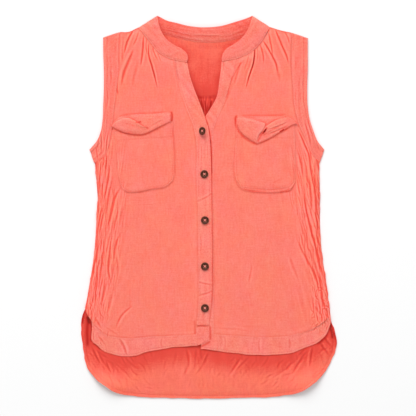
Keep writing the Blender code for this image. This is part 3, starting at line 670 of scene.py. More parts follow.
def sewn(piece, node, flat, share=1.0):
    """Puts a finished piece of cloth in place of its solid, and prints its count of triangles."""
    width, length = flat
    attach(piece, "root")
    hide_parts(node)
    width * MM
    length * MM
    share * width * length * MM * MM
    count_triangles(piece)


# %% Folded edges and lines of stitches
def groove(distance, place, depth, width=1.0):
    """A line of stitches pulls the cloth down along one place."""
    return depth * bell(distance - place, width)


def edge_drop(rim, depth, width):
    """A layer rounds down towards its edge over the width."""
    return depth * (1 - ease(rim / width))


def line_on(grid, side, inset):
    """A line on a piece's outer face, the given distance in from one of its edges."""
    if side in ("top", "bottom"):
        grid = grid.transpose(1, 0, 2)
    if side in ("bottom", "right"):
        grid = grid[:, ::-1]
    reach = np.cumsum(np.linalg.norm(np.diff(grid, axis=1), axis=-1), axis=1)
    reach = np.concatenate([np.zeros((len(grid), 1)), reach], axis=1)
    return np.array([[np.interp(inset, far, row[:, axis]) for axis in range(3)]
                     for far, row in zip(reach, grid)])


seams = []             # lines of stitches, sewn at the end
tail_seams = []        # those of the tail's rolled hem, sewn in a darker copy of the thread: painted shade


def stitch(face, side, inset, ends=2):
    """Adds a line of topstitching to a piece, that stops a few points short of its ends."""
    seams.append(line_on(face, side, inset)[ends:-ends])


# %% [markdown]
# ## The back
#
# The back is cut as a yoke across the shoulders and a long panel gathered under it, which ends in a curved
# tail with a narrow rolled hem.  Only the tail and a glimpse through the neck show from above, but the rest
# is there under the fronts.

# %% The gathers under the yoke and the creases of the tail
GATHER_HALF = 62       # the back is gathered this far each side of its middle
GATHER_PITCH = 6.2
GATHER_HEIGHT = 1.3
TAIL_CREASES = creases(
    (((-36, 96), (-31, 60), (-44, 34)), 4.0, 1.5, 0.3),
    (((-16, 96), (-19, 62), (-21, 48)), 3.0, 0.9, 0.2),
    (((8, 88), (-9, 54), (-22, 38)), 3.0, 1.5, -0.3),
    (((-52, 90), (-56, 66), (-62, 46)), 3.5, 0.6, 0.0),
    (((66, 78), (52, 56), (38, 36)), 3.2, 1.5, 0.35),
    (((84, 80), (62, 58), (50, 44)), 2.8, 0.8, 0.2),
    (((184, 88), (168, 65), (154, 40)), 3.0, 1.8, 0.3),
    (((166, 72), (136, 47), (112, 32)), 3.2, 1.5, 0.3),
    (((152, 62), (124, 44), (98, 34)), 3.0, 0.8, 0.0),
    (((193, 98), (190, 76), (187, 52)), 3.2, 2.2, -0.3),
    (((203, 104), (212, 92), (225, 74)), 3.4, 1.6, 0.3),
    (((212, 112), (221, 100), (232, 88)), 3.0, 1.4, 0.2),
    (((205, 84), (211, 70), (214, 58)), 3.0, 0.8, 0.0),
    (((-206, 96), (-196, 74), (-186, 58)), 3.2, 1.8, 0.3),
    (((-196, 88), (-184, 66), (-172, 50)), 3.0, 1.2, -0.2),
    (((-180, 70), (-175, 56), (-168, 42)), 2.8, 1.6, 0.3),
    (((-164, 66), (-152, 54), (-134, 40)), 3.0, 0.7, 0.0),
    (((-214, 132), (-212, 112), (-213, 92)), 3.0, 2.0, 0.3),
    (((-219, 120), (-217, 96), (-213, 74)), 2.6, 1.0, -0.2),
    (((-140, 62), (-128, 46), (-116, 34)), 3.0, 0.5, 0.0),
    (((-108, 70), (-100, 52), (-96, 38)), 3.4, 0.4, 0.2),
    (((104, 66), (98, 48), (86, 34)), 3.2, 0.5, 0.0),
)
TAIL_CRINKLES = (scattered(13, 60, (-216, -100), (14, 118), 36, 17, 36, 2.9, 0.5)
                 + scattered(14, 54, (104, 232), (14, 118), -40, 18, 34, 2.8, 0.58)
                 + scattered(15, 34, (-76, 104), (14, 84), -12, 20, 32, 3.0, 0.4))
TAIL_LIFT = 1.2        # the creased tail stands this much higher, and its creases are troughs in that
CURL = 8.0             # the tail's rounded corners stand off the table
ROLLED_HEM = 5.0


def back_top(plan, gather):
    """Height of the back's inner face, which is the one that shows."""
    x, y = plan[..., 0], plan[..., 1]
    below = YOKE_SEAM - y
    gathers = noise(x / 9, below / 30, 5)
    bent = x + 3.0 * gathers + 1.4 * noise(x / 5, below / 14, 8)
    waves = 0.5 + 0.5 * np.cos(2 * np.pi * bent / GATHER_PITCH)
    height = GATHER_HEIGHT * gather * waves * (0.65 + 0.35 * gathers) * ease(below / 9) * bell(below, 42)
    in_tail = ease((read_off(x, HEM_EDGE_RIGHT[3:] + HEM_EDGE_LEFT) + 12 - y) / 24)
    slow = 0.35 * uneven(plan, 34, 26, 6) + 0.25 * uneven(plan, 11, 19, 7)
    from_hem = away(plan, TAIL_EDGE[1:])
    tail = TAIL_LIFT + 0.5 * creased(plan, TAIL_CREASES) + creased(plan, TAIL_CRINKLES) + slow
    height += in_tail * ease(from_hem / 16) * tail
    hem = from_hem / ROLLED_HEM
    rolled = in_tail * (0.45 * ease(1.3 - hem / 0.9) - 0.25 * bell(hem - 1, 1 / 3))
    curl = sum(CURL * bell(x - corner, 42) * bell(y - 20, 24) for corner in (-188, 192))
    return CLOTH + np.maximum(height, 0.0) + rolled + curl


V_SHADE = table("y shade", (300, 0.0), (400, 0.94), (537, 0.94), (546, 0.86), (555, 0.74), (573, 0.62),
                (591, 0.44), (609, 0.30), (628, 0.16), (645, 0.12))
HEM_SHADE = table("distance shade", (0, 0.84), (8, 0.86), (14, 0.75), (23, 0.49), (31, 0.22), (37, 0.0),
                  (46, -0.12))
BACK_SHADES = shades(
    (((-212, 152), (-211.5, 141), (-213, 126), (-213, 110), (-212, 90)), 3.0, 0.9),
    (((-213, 148), (-211, 141), (-208, 134)), 2.6, 1.0),
    (((-216, 168), (-219, 158), (-221, 146), (-222, 132)), 2.4, 1.1),
    (((-207, 140), (-204.5, 128), (-205, 114), (-206, 100)), 2.0, 1.1),
    (((224, 142), (226, 132), (228, 118), (229, 106)), 2.4, 1.1),
    (((231, 122), (234, 112), (236, 100), (234, 90)), 2.4, 0.9),
    (((226, 138), (223, 124), (217, 112), (208, 103), (196, 96)), 2.6, 0.8),
    (((-203, 100), (-197, 96), (-188, 88)), 2.2, 0.7),
    (((-13, 540), (-10, 528), (-5, 514)), 1.3, 0.9),
    (((-7, 537), (-5, 526), (-3, 512)), 1.0, 0.8),
    (((-1.5, 538), (-0.5, 527), (1, 515)), 1.1, 0.9),
    (((5.5, 540), (4.5, 530), (3, 518)), 1.1, 0.8),
    (((12, 538), (8.5, 526), (3.5, 513)), 1.5, 1.2),
    (((-17, 546), (-8, 542), (1, 540.5), (11, 542.5), (18, 547)), 1.8, 0.5),
    (((-22, 632), (0, 633), (26, 635), (54, 641)), 2.0, 0.22),
    (((-70, 651), (-40, 641), (-16, 637)), 1.8, 0.25),
    (((-8, 620), (-7, 600), (-8, 580)), 2.4, 0.12),
    (((4, 616), (5, 596), (4, 566)), 2.4, 0.12),
)
COLLAR_OPENING = [
    [(-31.5, 612), (-33, 620), (-42, 629), (-52, 634), (-66, 643), (-80, 662)],
    [(29, 612), (31, 620), (37, 629), (48, 636), (61, 645), (72, 657)],
]


def inside_shade(plan):
    """Painted shade on the back, which lies in the dark low in the V, beside its bands, in the vents and
    under the front hems.
    """
    y = plan[..., 1]
    beside_bands = 0.5 * bell(away(plan, BAND_INNER_RIGHT), 6) + 0.25 * bell(away(plan, BAND_INNER_LEFT), 5)
    beside_collar = sum(bell(away(plan, edge), 8) for edge in COLLAR_OPENING)
    edges = VENT_RIGHT[:2] + HEM_EDGE_RIGHT + HEM_EDGE_LEFT + SIDE_LEFT[-1:]
    below_hem = read_off(away(plan, edges), HEM_SHADE) * ease((180 - y) / 12)
    shade = read_off(y, V_SHADE) * (1 + beside_bands) + 0.28 * beside_collar + below_hem
    return shade + shaded(plan, BACK_SHADES)


ARM_CELLS, SHOULDER_CELLS, NECK_CELLS, TAIL_CELLS = 60, 36, 198, 132
YOKE_CELLS = (66, 138, 66)     # along the yoke seam: beside the gathers, in them, and beside them again


def make_back():
    arms = [smooth_run(seam, ARM_CELLS, 0.85) for seam in (ARM_SEAM_RIGHT, ARM_SEAM_LEFT)]
    cut = int(np.argmin(abs(arms[0][:, 1] - YOKE_SEAM)))
    corners = [arms[0][cut], (-GATHER_HALF, YOKE_SEAM), (GATHER_HALF, YOKE_SEAM), arms[1][cut]]
    seam = joined(*(smooth_run(corners[k:k + 2], cells) for k, cells in enumerate(YOKE_CELLS)))
    neck = joined(smooth_run(SHOULDER_RIGHT, SHOULDER_CELLS), smooth_run(NECK_SEAM_BACK, NECK_CELLS),
                  smooth_run(SHOULDER_LEFT, SHOULDER_CELLS))
    plan = patch(neck, seam, *(arm[: cut + 1] for arm in arms))
    top = CLOTH + 0.25 * uneven(plan, 30, 24, 3) * ease(away(plan, NECK_SEAM_BACK) / 20)
    yoke = slab("yoke", grown(plan, top=2.0, bottom=0.3), np.maximum(top, CLOTH), CORAL_SHADED_INSIDE,
                painted_crease_shade(top) + inside_shade(plan), painted_under_shade=0.5)
    sewn(yoke, "back_yoke", (330, 122), share=0.85)

    sides = [joined(smooth_run(arm[cut:], 36), smooth_run(side, 24), smooth_run(tail, TAIL_CELLS))
             for arm, side, tail in zip(arms, (SIDE_RIGHT, SIDE_LEFT), (TAIL_SIDE_RIGHT, TAIL_SIDE_LEFT))]
    plan = rippled(patch(seam, smooth_run(TAIL_HEM, len(seam) - 1), *sides), TAIL_EDGE, 0.9, 95)
    top = back_top(plan, ease((GATHER_HALF + 4 - abs(plan[..., 0])) / 10))
    panel = slab("back", plan, top, CORAL_SHADED_INSIDE, painted_crease_shade(top, 2, 0.9) + inside_shade(plan), step=3,
                 painted_under_shade=0.5)
    sewn(panel, "back_panel", (470, 560), share=0.8)
    face = np.dstack([plan, top])
    for side in ("left", "bottom", "right"):
        line = line_on(face, side, ROLLED_HEM)
        tail_seams.append(line[line[:, 1] < 142] if side != "bottom" else line[2:-2])


# %% [markdown]
# ## The fronts
#
# Each front is gathered into the collar, so it stands up below the neck seam and the gathers are troughs in
# that swell.  Down the side seams the cloth is crushed into long creases, and the middle lies smooth.  Where
# a band is sewn over a front's edge, the front dips and runs on under it.

# %% Creases of the right front
GATHERS_RIGHT = creases(
    (((-128, 666), (-136, 652), (-142, 638), (-147, 618)), 2.8, 2.3, 0.35),
    (((-119, 664), (-124, 648), (-132, 632)), 2.2, 1.0, 0.2),
    (((-112, 656), (-112, 640), (-114, 616), (-117, 596)), 3.2, 2.3, 0.4),
    (((-106, 650), (-107, 636), (-105, 618)), 2.0, 1.1, 0.2),
    (((-102, 644), (-102, 618), (-96, 598), (-90, 574), (-86, 556)), 2.5, 2.6, 0.35),
    (((-96, 638), (-93, 624), (-86, 608)), 2.0, 1.1, 0.1),
    (((-88, 628), (-83, 614), (-78, 602)), 1.8, 0.6, 0.0),
    (((-128, 632), (-139, 606), (-147, 586), (-152, 560)), 4.4, 1.6, -0.3),
    (((-146, 652), (-149, 630), (-150, 600)), 2.6, 0.6, 0.0),
    (((-120, 612), (-126, 590), (-132, 560)), 4.6, 0.6, 0.1),
    (((-157, 584), (-160, 562), (-156, 540)), 2.0, 1.0, 0.1),
)
SIDES_RIGHT = creases(
    (((-168, 484), (-176, 452), (-183, 430)), 2.2, 1.2, 0.2),
    (((-186, 436), (-189, 410), (-193, 372)), 2.2, 1.8, 0.3),
    (((-178, 440), (-179, 420), (-181, 392)), 2.0, 1.4, 0.1),
    (((-172, 426), (-174, 399), (-179, 375), (-184, 350)), 2.3, 2.0, 0.3),
    (((-167, 470), (-168, 446), (-172, 416)), 2.0, 1.1, 0.1),
    (((-164, 410), (-170, 384), (-178, 352)), 2.2, 1.2, 0.0),
    (((-159, 440), (-160, 416), (-164, 388)), 2.0, 0.9, 0.1),
    (((-149, 386), (-160, 368), (-170, 331), (-179, 300)), 3.4, 1.8, 0.35),
    (((-157, 342), (-162, 318), (-167, 294)), 2.8, 1.1, 0.2),
    (((-152, 300), (-160, 282), (-166, 244)), 3.2, 1.2, 0.2),
    (((-183, 352), (-190, 325), (-194, 296)), 3.0, 1.5, -0.2),
    (((-193, 296), (-195, 261), (-202, 232), (-205, 202)), 3.2, 1.8, 0.3),
    (((-171, 290), (-172, 262), (-175, 236), (-170, 206)), 2.8, 1.8, 0.3),
    (((-181, 300), (-184, 262), (-187, 226)), 2.8, 1.3, 0.1),
    (((-195, 232), (-197, 198), (-200, 168)), 3.0, 1.6, 0.2),
    (((-160, 262), (-158, 236), (-160, 214)), 3.0, 0.9, 0.0),
    (((-180, 214), (-184, 190), (-188, 166)), 3.0, 1.1, 0.2),
    (((-206, 196), (-208, 178), (-209, 160)), 2.6, 1.0, 0.2),
    (((-168, 196), (-172, 172), (-177, 150)), 3.2, 0.8, 0.0),
    (((-130, 169), (-152, 148), (-162, 126)), 2.8, 1.1, 0.3),
    (((-200, 150), (-192, 134), (-186, 124)), 2.8, 1.0, 0.1),
    (((-146, 352), (-152, 330), (-156, 306)), 3.4, 0.7, 0.1),
    (((-131, 350), (-110, 349), (-76, 352)), 1.6, 0.35, 0.2),
    (((-184, 132), (-168, 121), (-153, 112)), 2.6, 0.4, 0.2),
)

# %% Creases of the left front
GATHERS_LEFT = creases(
    (((124, 668), (131, 651), (139, 632), (146, 616), (150, 600)), 2.8, 2.2, -0.35),
    (((113, 662), (116, 645), (120, 624), (121, 608)), 2.4, 1.3, -0.2),
    (((101, 648), (110, 634), (119, 618), (127, 602), (130, 584)), 2.6, 2.3, -0.35),
    (((97, 641), (103, 622), (105, 600)), 2.4, 1.1, -0.1),
    (((89, 636), (88, 616), (86, 602), (80, 584), (72, 556)), 2.3, 3.2, -0.4),
    (((93, 636), (94, 620), (92, 604)), 1.8, 0.7, 0.0),
    (((80, 625), (75, 606), (68, 586)), 2.2, 0.6, 0.1),
    (((66, 615), (58, 588), (50, 560)), 3.0, 0.9, 0.2),
    (((118, 622), (128, 596), (135, 566)), 4.4, 0.7, 0.1),
    (((140, 664), (148, 650), (152, 634)), 2.2, 1.0, 0.0),
)
SIDES_LEFT = creases(
    (((164, 490), (176, 463), (186, 439), (189, 415), (192, 398), (198, 366)), 2.9, 2.7, -0.3),
    (((174, 470), (180, 446), (183, 420)), 2.6, 1.0, 0.1),
    (((165, 452), (172, 423), (176, 396)), 2.6, 1.6, -0.2),
    (((196, 424), (197, 400), (198, 378)), 2.4, 1.3, 0.2),
    (((195, 404), (198, 360), (200, 320), (204, 290)), 2.8, 1.9, -0.3),
    (((187, 396), (189, 366), (192, 334)), 2.8, 1.3, 0.1),
    (((177, 372), (183, 330), (193, 291), (201, 260), (205, 239), (215, 206)), 2.9, 2.5, -0.3),
    (((172, 372), (176, 342), (181, 312)), 2.8, 0.9, 0.0),
    (((162, 294), (176, 262), (189, 238), (204, 205), (212, 176)), 3.2, 1.3, -0.2),
    (((172, 318), (180, 288), (190, 256)), 3.0, 0.8, 0.1),
    (((199, 300), (203, 268), (206, 240)), 2.6, 1.2, 0.2),
    (((200, 238), (207, 205), (213, 172), (222, 150)), 3.0, 1.9, -0.2),
    (((192, 246), (199, 216), (206, 182)), 3.0, 1.3, 0.1),
    (((206, 188), (212, 170), (216, 154)), 2.6, 1.3, 0.1),
    (((192, 172), (204, 156), (210, 146)), 2.8, 0.9, 0.0),
    (((84, 244), (81, 225), (77, 206)), 2.6, 0.7, 0.2),
    (((150, 262), (158, 236), (168, 212)), 3.6, 0.6, 0.0),
    (((14, 131), (34, 126), (58, 125), (84, 120)), 3.2, 0.35, 0.2),
    (((46, 134), (72, 130), (104, 131)), 3.0, 0.25, 0.2),
)

# %% Small crinkles beside the side seams
REACHES_RIGHT = table("y reach", (140, 46), (300, 48), (455, 56))
REACHES_LEFT = table("y reach", (140, 32), (210, 26), (260, 30), (310, 42), (360, 54), (455, 54))
CRINKLES_RIGHT = side_crinkles(11, 300, SIDE_RIGHT, 1, -0.13, 0.9, REACHES_RIGHT)
CRINKLES_LEFT = side_crinkles(12, 250, SIDE_LEFT, -1, 0.17, 0.9, REACHES_LEFT)
VENT_CRINKLES_RIGHT = scattered(16, 26, (-208, -176), (86, 170), 12, 24, 18, 1.6, 0.8)
VENT_CRINKLES_LEFT = scattered(17, 56, (192, 225), (112, 204), 4, 38, 15, 1.6, 1.3)

# %% Painted shade where one layer leaves another in the dark
POCKET_RIGHT_EDGE = ((-158, 400), (-151, 377), (-143, 371), (-125, 370), (-98, 375), (-70, 380), (-58, 391),
                     (-55, 408), (-54, 436), (-56, 470))
POCKET_LEFT_EDGE = ((51, 440), (50, 418), (51, 402), (56, 386), (64, 376), (78, 372), (94, 370), (118, 369),
                    (139, 371), (154, 376), (162, 390))
NECK_BAND_LINE = shades(
    (((71, 611), (62, 601), (56.5, 592), (48.5, 577), (43.5, 563), (40, 550), (36, 538)), 1.1, 0.7),
)


def moved(points, right=0.0, up=0.0):
    """A line moved to the right and up."""
    return [(x + right, y + up) for x, y in points]


FRONT_RIGHT_SHADES = shades(
    (ARM_SEAM_RIGHT, 1.5, 0.2),
    (((-159, 505), (-150, 510), (-134, 512), (-112, 513.5), (-89, 514.5), (-66, 517.5)), 1.4, 0.42),
    (((-61.5, 518), (-60, 508), (-61, 496)), 1.4, 1.1),
    (((-175, 490), (-171, 487), (-166, 484)), 1.4, 1.1),
    (((-101, 614), (-98.5, 602), (-94, 588), (-90.5, 575)), 1.0, 0.8),
    (((-160.5, 574), (-158.5, 560), (-156.5, 547)), 1.0, 0.6),
    (((-176, 461), (-179, 447), (-178, 431), (-180, 411)), 1.1, 0.6),
    (((-171, 374), (-176, 352), (-180, 330)), 1.0, 0.5),
    (POCKET_RIGHT_EDGE, 1.5, 0.2),
    (HEM_SEAM_RIGHT[1:], 1.2, 0.22),
    (((-20, 143), (-19.5, 136), (-19.5, 124), (-19, 112)), 1.5, 0.55),
)
FRONT_LEFT_SHADES = shades(
    (ARM_SEAM_LEFT, 1.5, 0.2),
    (((88.6, 628), (87.5, 614), (86, 602), (83, 593)), 0.8, 1.0),
    (((89, 634), (87, 606), (80, 584), (75, 566)), 1.2, 0.4),
    (((58, 511), (54.5, 507), (54, 499), (56, 488), (61, 478)), 1.8, 1.1),
    *NECK_BAND_LINE,
    (POCKET_LEFT_EDGE, 1.5, 0.22),
    (((132, 370), (147, 372.5), (159, 377)), 1.2, 0.4),
    (((44, 553), (37, 537), (31, 523)), 1.2, 0.25),
    (((60, 510.5), (75, 510), (98, 510), (124, 510), (150, 512)), 1.3, 0.38),
    (((167, 498), (169, 493), (166, 489)), 1.4, 0.4),
)
POCKET_RIGHT_SHADES = shades(
    (moved(FLAP_RIGHT["edge"], up=-1.2), 1.5, 0.55),
    (((-59, 395), (-56.5, 410), (-56.5, 440), (-58.5, 470), (-59.5, 494)), 1.0, 0.3),
    (((-146, 373.5), (-125, 372.5), (-98, 377.5), (-70, 382.5)), 1.1, 0.2),
)
POCKET_LEFT_SHADES = shades(
    (moved(FLAP_LEFT["edge"], up=-1.2), 1.5, 0.55),
    (((54, 497), (56.5, 487), (62, 477), (71, 468), (83, 460.5), (93, 456.5)), 1.5, 0.55),
    (((66, 378.5), (79, 374.5), (95, 372.5), (118, 371.5)), 1.1, 0.35),
    (((132, 372.5), (147, 375), (157, 380)), 1.1, 0.4),
    (((121, 388), (128, 391.5), (135, 395)), 0.9, 0.35),
    (((121.5, 387), (122, 379)), 0.9, 0.3),
)
FLAP_RIGHT_SHADES = shades(
    (((-127, 498), (-121, 497), (-115, 499)), 1.4, 1.3),
    (((-122, 496.5), (-112, 490.5), (-101, 485.5)), 1.2, 0.9),
    (((-63.5, 513), (-62.5, 507), (-63.5, 499)), 1.2, 0.7),
    (((-152, 509), (-140, 508), (-130, 503), (-122, 498)), 1.1, 0.3),
    (((-104, 502), (-92, 505), (-76, 510)), 1.2, 0.25),
)
FLAP_LEFT_SHADES = shades(
    (((111, 489), (107, 482), (102.5, 476)), 1.3, 1.9),
    (((109.5, 485.5), (106.5, 481.5), (104.5, 479)), 1.1, 2.2),
    (((104, 480), (98, 470), (94, 461)), 1.2, 0.7),
    (((109, 489), (121, 499), (134, 504), (152, 510)), 1.2, 0.45),
    (((68, 507), (90, 500), (107, 494)), 1.1, 0.4),
    (((102, 472), (116, 481), (126, 486), (138, 486), (150, 494)), 1.2, 0.5),
    (((133, 480.5), (137.5, 482), (142, 485)), 1.3, 1.6),
)
UNDERLAP_SHADES = shades(
    *NECK_BAND_LINE,
    (moved(PLACKET_INNER, 0.4), 1.7, 0.8),
    (((-5, 514), (-1, 507), (2, 498), (4.8, 488), (6.8, 480), (8.1, 469), (9.2, 456)), 1.5, 1.5),
    (((7.9, 470), (9.2, 456), (10.3, 438), (10.8, 420), (11.3, 400)), 1.5, 1.2),
    (((6, 134), (8, 128), (9, 118), (8.5, 104)), 1.6, 0.8),
    (((-10, 92), (-2, 96.5), (6, 101), (9, 104)), 1.5, 0.8),
)
PLACKET_SHADES = shades((moved(PLACKET_INNER, -0.2), 0.9, 0.4), (moved(PLACKET_OUTER, 0.3), 1.0, 0.22))
FOOT_SHADES = shades(
    (((-20, 130.5), (-8, 131), (9, 131.5)), 1.4, 0.9),
    (((-19, 142), (-18.5, 130), (-19, 116)), 1.5, 0.7),
)

# %% The height of a front
GATHER_LIFT, GATHER_REACH, GATHER_DEPTH = 2.8, 100, 0.75
SIDE_LIFT, SIDE_REACH, SIDE_ROUND, SIDE_DEPTH = 1.9, 82, 8, 0.6
SHOULDER_ROUND = 8
POCKET_MARGIN, POCKET_FADE = 2, 30
LAP_ROUND = 34
DIP, DIP_REACH = 0.2, 3.5     # a seam pulls the cloth down beside a band
SIDE_RIPPLE = 1.1      # a washed side seam wanders this much
Front = namedtuple("Front", "name node width plan side shoulder arm_seam neck_seam hem_seam band laps "
                            "gathers sides crinkles vent pocket painted side_share crinkle_share seed "
                            "ripple_seed")


def lap_rise(y):
    """How far the buttoned edge is lifted over the other at a height along the front."""
    return (LAP_LEVEL - FRONT_LEVEL) * ease((LAP_START - y) / (LAP_START - LAP_WHOLE))


def front_top(plan, front):
    """Height of a front's outer face, and the share of it that is folds."""
    from_neck, from_side = away(plan, front.neck_seam), away(plan, front.side)
    turned = np.maximum(1 - ease(from_side / SIDE_ROUND),
                        1 - ease(away(plan, front.shoulder) / SHOULDER_ROUND))
    level = FRONT_LEVEL - (FRONT_LEVEL - SEAM_LEVEL) * turned
    swell = GATHER_LIFT * ease(1 - from_neck / GATHER_REACH) * ease((from_neck + 4) / 15)
    swell += SIDE_LIFT * ease(1 - from_side / SIDE_REACH) * ease(from_side / SIDE_ROUND)
    x, y = plan[..., 0], plan[..., 1]
    slow = 0.25 * uneven(plan, 42, 55, front.seed) + 0.08 * uneven(plan, 13, 17, front.seed + 1)
    leaning = (from_side - 0.13 * y) / 3.1
    streaks = 0.30 * noise(leaning / 2, y / 44, front.seed + 2) * ease(1.1 - from_side / 80)
    streaks += 0.24 * noise(leaning, y / 30, front.seed + 3) * np.exp(-from_side / 34)
    folds = creased(plan, front.gathers, 0.5) * GATHER_DEPTH + creased(plan, front.sides) * SIDE_DEPTH
    folds += creased(plan, front.crinkles + front.vent) + streaks
    corners = np.array(front.pocket["outer"] + front.pocket["inner"])
    low, high = corners.min(axis=0), corners.max(axis=0)
    outside = np.linalg.norm(np.maximum(np.maximum(low - plan, plan - high), 0.0), axis=-1)
    flat, crushed = ease((outside - POCKET_MARGIN) / POCKET_FADE), ease((outside + 2) / 9)
    seam = np.minimum.reduce([away(plan, line) for line in
                              (front.neck_seam, front.arm_seam, front.hem_seam, front.band)])
    corner = ease((200 - abs(x)) / 22) + ease((y - 200) / 20)
    slow = slow * ease(seam / 12) - edge_drop(seam, DIP, DIP_REACH) * np.minimum(corner, 1)
    return level + CLOTH + np.maximum(swell * flat + folds * crushed, -0.4) + slow, folds * crushed + slow


def make_front(front):
    """One front.  Painted shade deepens its colour in troughs, along shaded lines and towards its outer
    edges, where the cloth turns down.
    """
    plan = rippled(front.plan, front.side, SIDE_RIPPLE, front.ripple_seed)
    top, folds = front_top(plan, front)
    if front.laps:
        top += lap_rise(plan[..., 1]) * (1 - ease(away(plan, front.band) / LAP_ROUND))
    painted = (front.painted + painted_trough_lines(front.gathers, 0.2) + painted_trough_lines(front.sides, front.side_share)
               + painted_trough_lines(front.crinkles, front.crinkle_share, 0.5))
    from_side = away(plan, front.side)
    # Painted shade towards the side seam and along the side and shoulder edges, where the cloth turns down.
    rim = 0.15 * np.exp(-from_side / 20)
    rim += 0.1 * np.exp(-np.minimum(from_side, away(plan, front.shoulder)) / 1.6)
    piece = slab(front.name, plan, top, CORAL, painted_crease_shade(folds) + shaded(plan, painted) + rim, step=3)
    sewn(piece, front.node, (front.width, 590), share=0.78)


# %% The grids of the two fronts
SHOULDER_COLUMNS, NECK_COLUMNS, HEM_BUNCH = 51, 135, 1.1
FRONT_ROWS, ARM_ROWS, VENT_ROWS, CORNER_ROWS = 465, 222, 24, 15
BAND_ROWS_RIGHT, BAND_ROWS_LEFT = 112, 123


def right_plan():
    plan = patch(
        joined(smooth_run(SHOULDER_RIGHT, SHOULDER_COLUMNS), smooth_run(NECK_SEAM_RIGHT, NECK_COLUMNS)),
        smooth_run(HEM_SEAM_RIGHT, SHOULDER_COLUMNS + NECK_COLUMNS, HEM_BUNCH),
        joined(smooth_run(ARM_SEAM_RIGHT, ARM_ROWS, 0.95),
               smooth_run(SIDE_RIGHT, FRONT_ROWS - ARM_ROWS - VENT_ROWS), smooth_run(VENT_RIGHT, VENT_ROWS)),
        joined(smooth_run(BAND_OUTER_RIGHT, BAND_ROWS_RIGHT),
               smooth_run(PLACKET_OUTER, FRONT_ROWS - BAND_ROWS_RIGHT - CORNER_ROWS),
               smooth_run([PLACKET_OUTER[-1], FRONT_CORNER_RIGHT], CORNER_ROWS)),
    )
    return grown(plan, bottom=TUCK, right=TUCK)


def left_plan():
    plan = patch(
        joined(smooth_run(NECK_SEAM_LEFT, NECK_COLUMNS), smooth_run(SHOULDER_LEFT, SHOULDER_COLUMNS)),
        smooth_run(HEM_SEAM_LEFT, SHOULDER_COLUMNS + NECK_COLUMNS, 1 / HEM_BUNCH),
        joined(smooth_run(BAND_OUTER_LEFT, BAND_ROWS_LEFT),
               smooth_run(UNDERLAP_OUTER, FRONT_ROWS - BAND_ROWS_LEFT)),
        joined(smooth_run(ARM_SEAM_LEFT, ARM_ROWS, 0.95), smooth_run(SIDE_LEFT, FRONT_ROWS - ARM_ROWS)),
    )
    return grown(plan, bottom=TUCK, left=TUCK)


RIGHT_FRONT = Front(
    name="right_front", node="front_right", width=235, plan=right_plan(), side=SIDE_RIGHT,
    shoulder=SHOULDER_RIGHT, arm_seam=ARM_SEAM_RIGHT, neck_seam=NECK_SEAM_RIGHT, hem_seam=HEM_SEAM_RIGHT,
    band=BAND_OUTER_RIGHT + PLACKET_OUTER[1:] + [FRONT_CORNER_RIGHT], laps=True, gathers=GATHERS_RIGHT,
    sides=SIDES_RIGHT, crinkles=CRINKLES_RIGHT, vent=VENT_CRINKLES_RIGHT, pocket=POCKET_RIGHT,
    painted=FRONT_RIGHT_SHADES, side_share=0.18, crinkle_share=0.08, seed=21, ripple_seed=91,
)
LEFT_FRONT = Front(
    name="left_front", node="front_left", width=240, plan=left_plan(), side=SIDE_LEFT,
    shoulder=SHOULDER_LEFT, arm_seam=ARM_SEAM_LEFT, neck_seam=NECK_SEAM_LEFT, hem_seam=HEM_SEAM_LEFT,
    band=BAND_OUTER_LEFT + UNDERLAP_OUTER[1:], laps=False, gathers=GATHERS_LEFT, sides=SIDES_LEFT,
    crinkles=CRINKLES_LEFT, vent=VENT_CRINKLES_LEFT, pocket=POCKET_LEFT, painted=FRONT_LEFT_SHADES,
    side_share=0.17, crinkle_share=0.14, seed=31, ripple_seed=93,
)

# %% [markdown]
# ## Pockets and flaps
#
# Two patch pockets with rounded corners are topstitched on.  Their flaps have crumpled in the wash: a flap
# is not a flat tongue any more but two or three lobes that lie over each other.  A lobe's free edge is a
# step in the flap's height, high on one side of a line and low on the other.

# %% Pockets
POCKET_HEM = 28        # the turned hem along a pocket's mouth
POCKET_STITCH, FLAP_STITCH = 4.0, 4.0
POCKET_CELLS, FLAP_CELLS = (84, 94), (110, 44)     # across and down


def make_pocket(side, outline, painted, folds, edges, seed):
    """A patch pocket.  Its edges are named from left to right in the picture."""
    across, down = POCKET_CELLS
    plan = patch(smooth_run(outline["top"], across), smooth_run(outline["bottom"], across),
                 *(smooth_run(outline[edge], down) for edge in edges))
    rim = away(plan, outline["outer"] + outline["bottom"][1:-1] + outline["inner"][::-1])
    mouth = away(plan, outline["top"])
    relief = 0.20 * uneven(plan, 30, 24, seed) + 0.08 * uneven(plan, 9, 14, seed + 1) * ease(rim / 14)
    relief += creased(plan, folds) * np.exp(-away(plan, outline["outer"]) / 24)
    relief -= groove(rim, POCKET_STITCH, 0.16, 1.1) + groove(mouth, POCKET_HEM, 0.22, 1.1) * ease(rim / 5)
    top = POCKET_LEVEL + CLOTH + relief - edge_drop(rim, 0.8, 2.4)
    # Painted shade in its creases, along the given lines and round its rim.
    piece = slab(f"{side}_pocket", plan, top, CORAL,
                 painted_crease_shade(relief) + shaded(plan, painted) + edge_drop(rim, 0.3, 1.8))
    sewn(piece, f"pocket_{side}", (112, 128), share=0.95)
    face = np.dstack([plan, top])
    for edge in ("left", "bottom", "right"):
        stitch(face, edge, POCKET_STITCH, 3)
    stitch(face, "top", POCKET_HEM, 4)


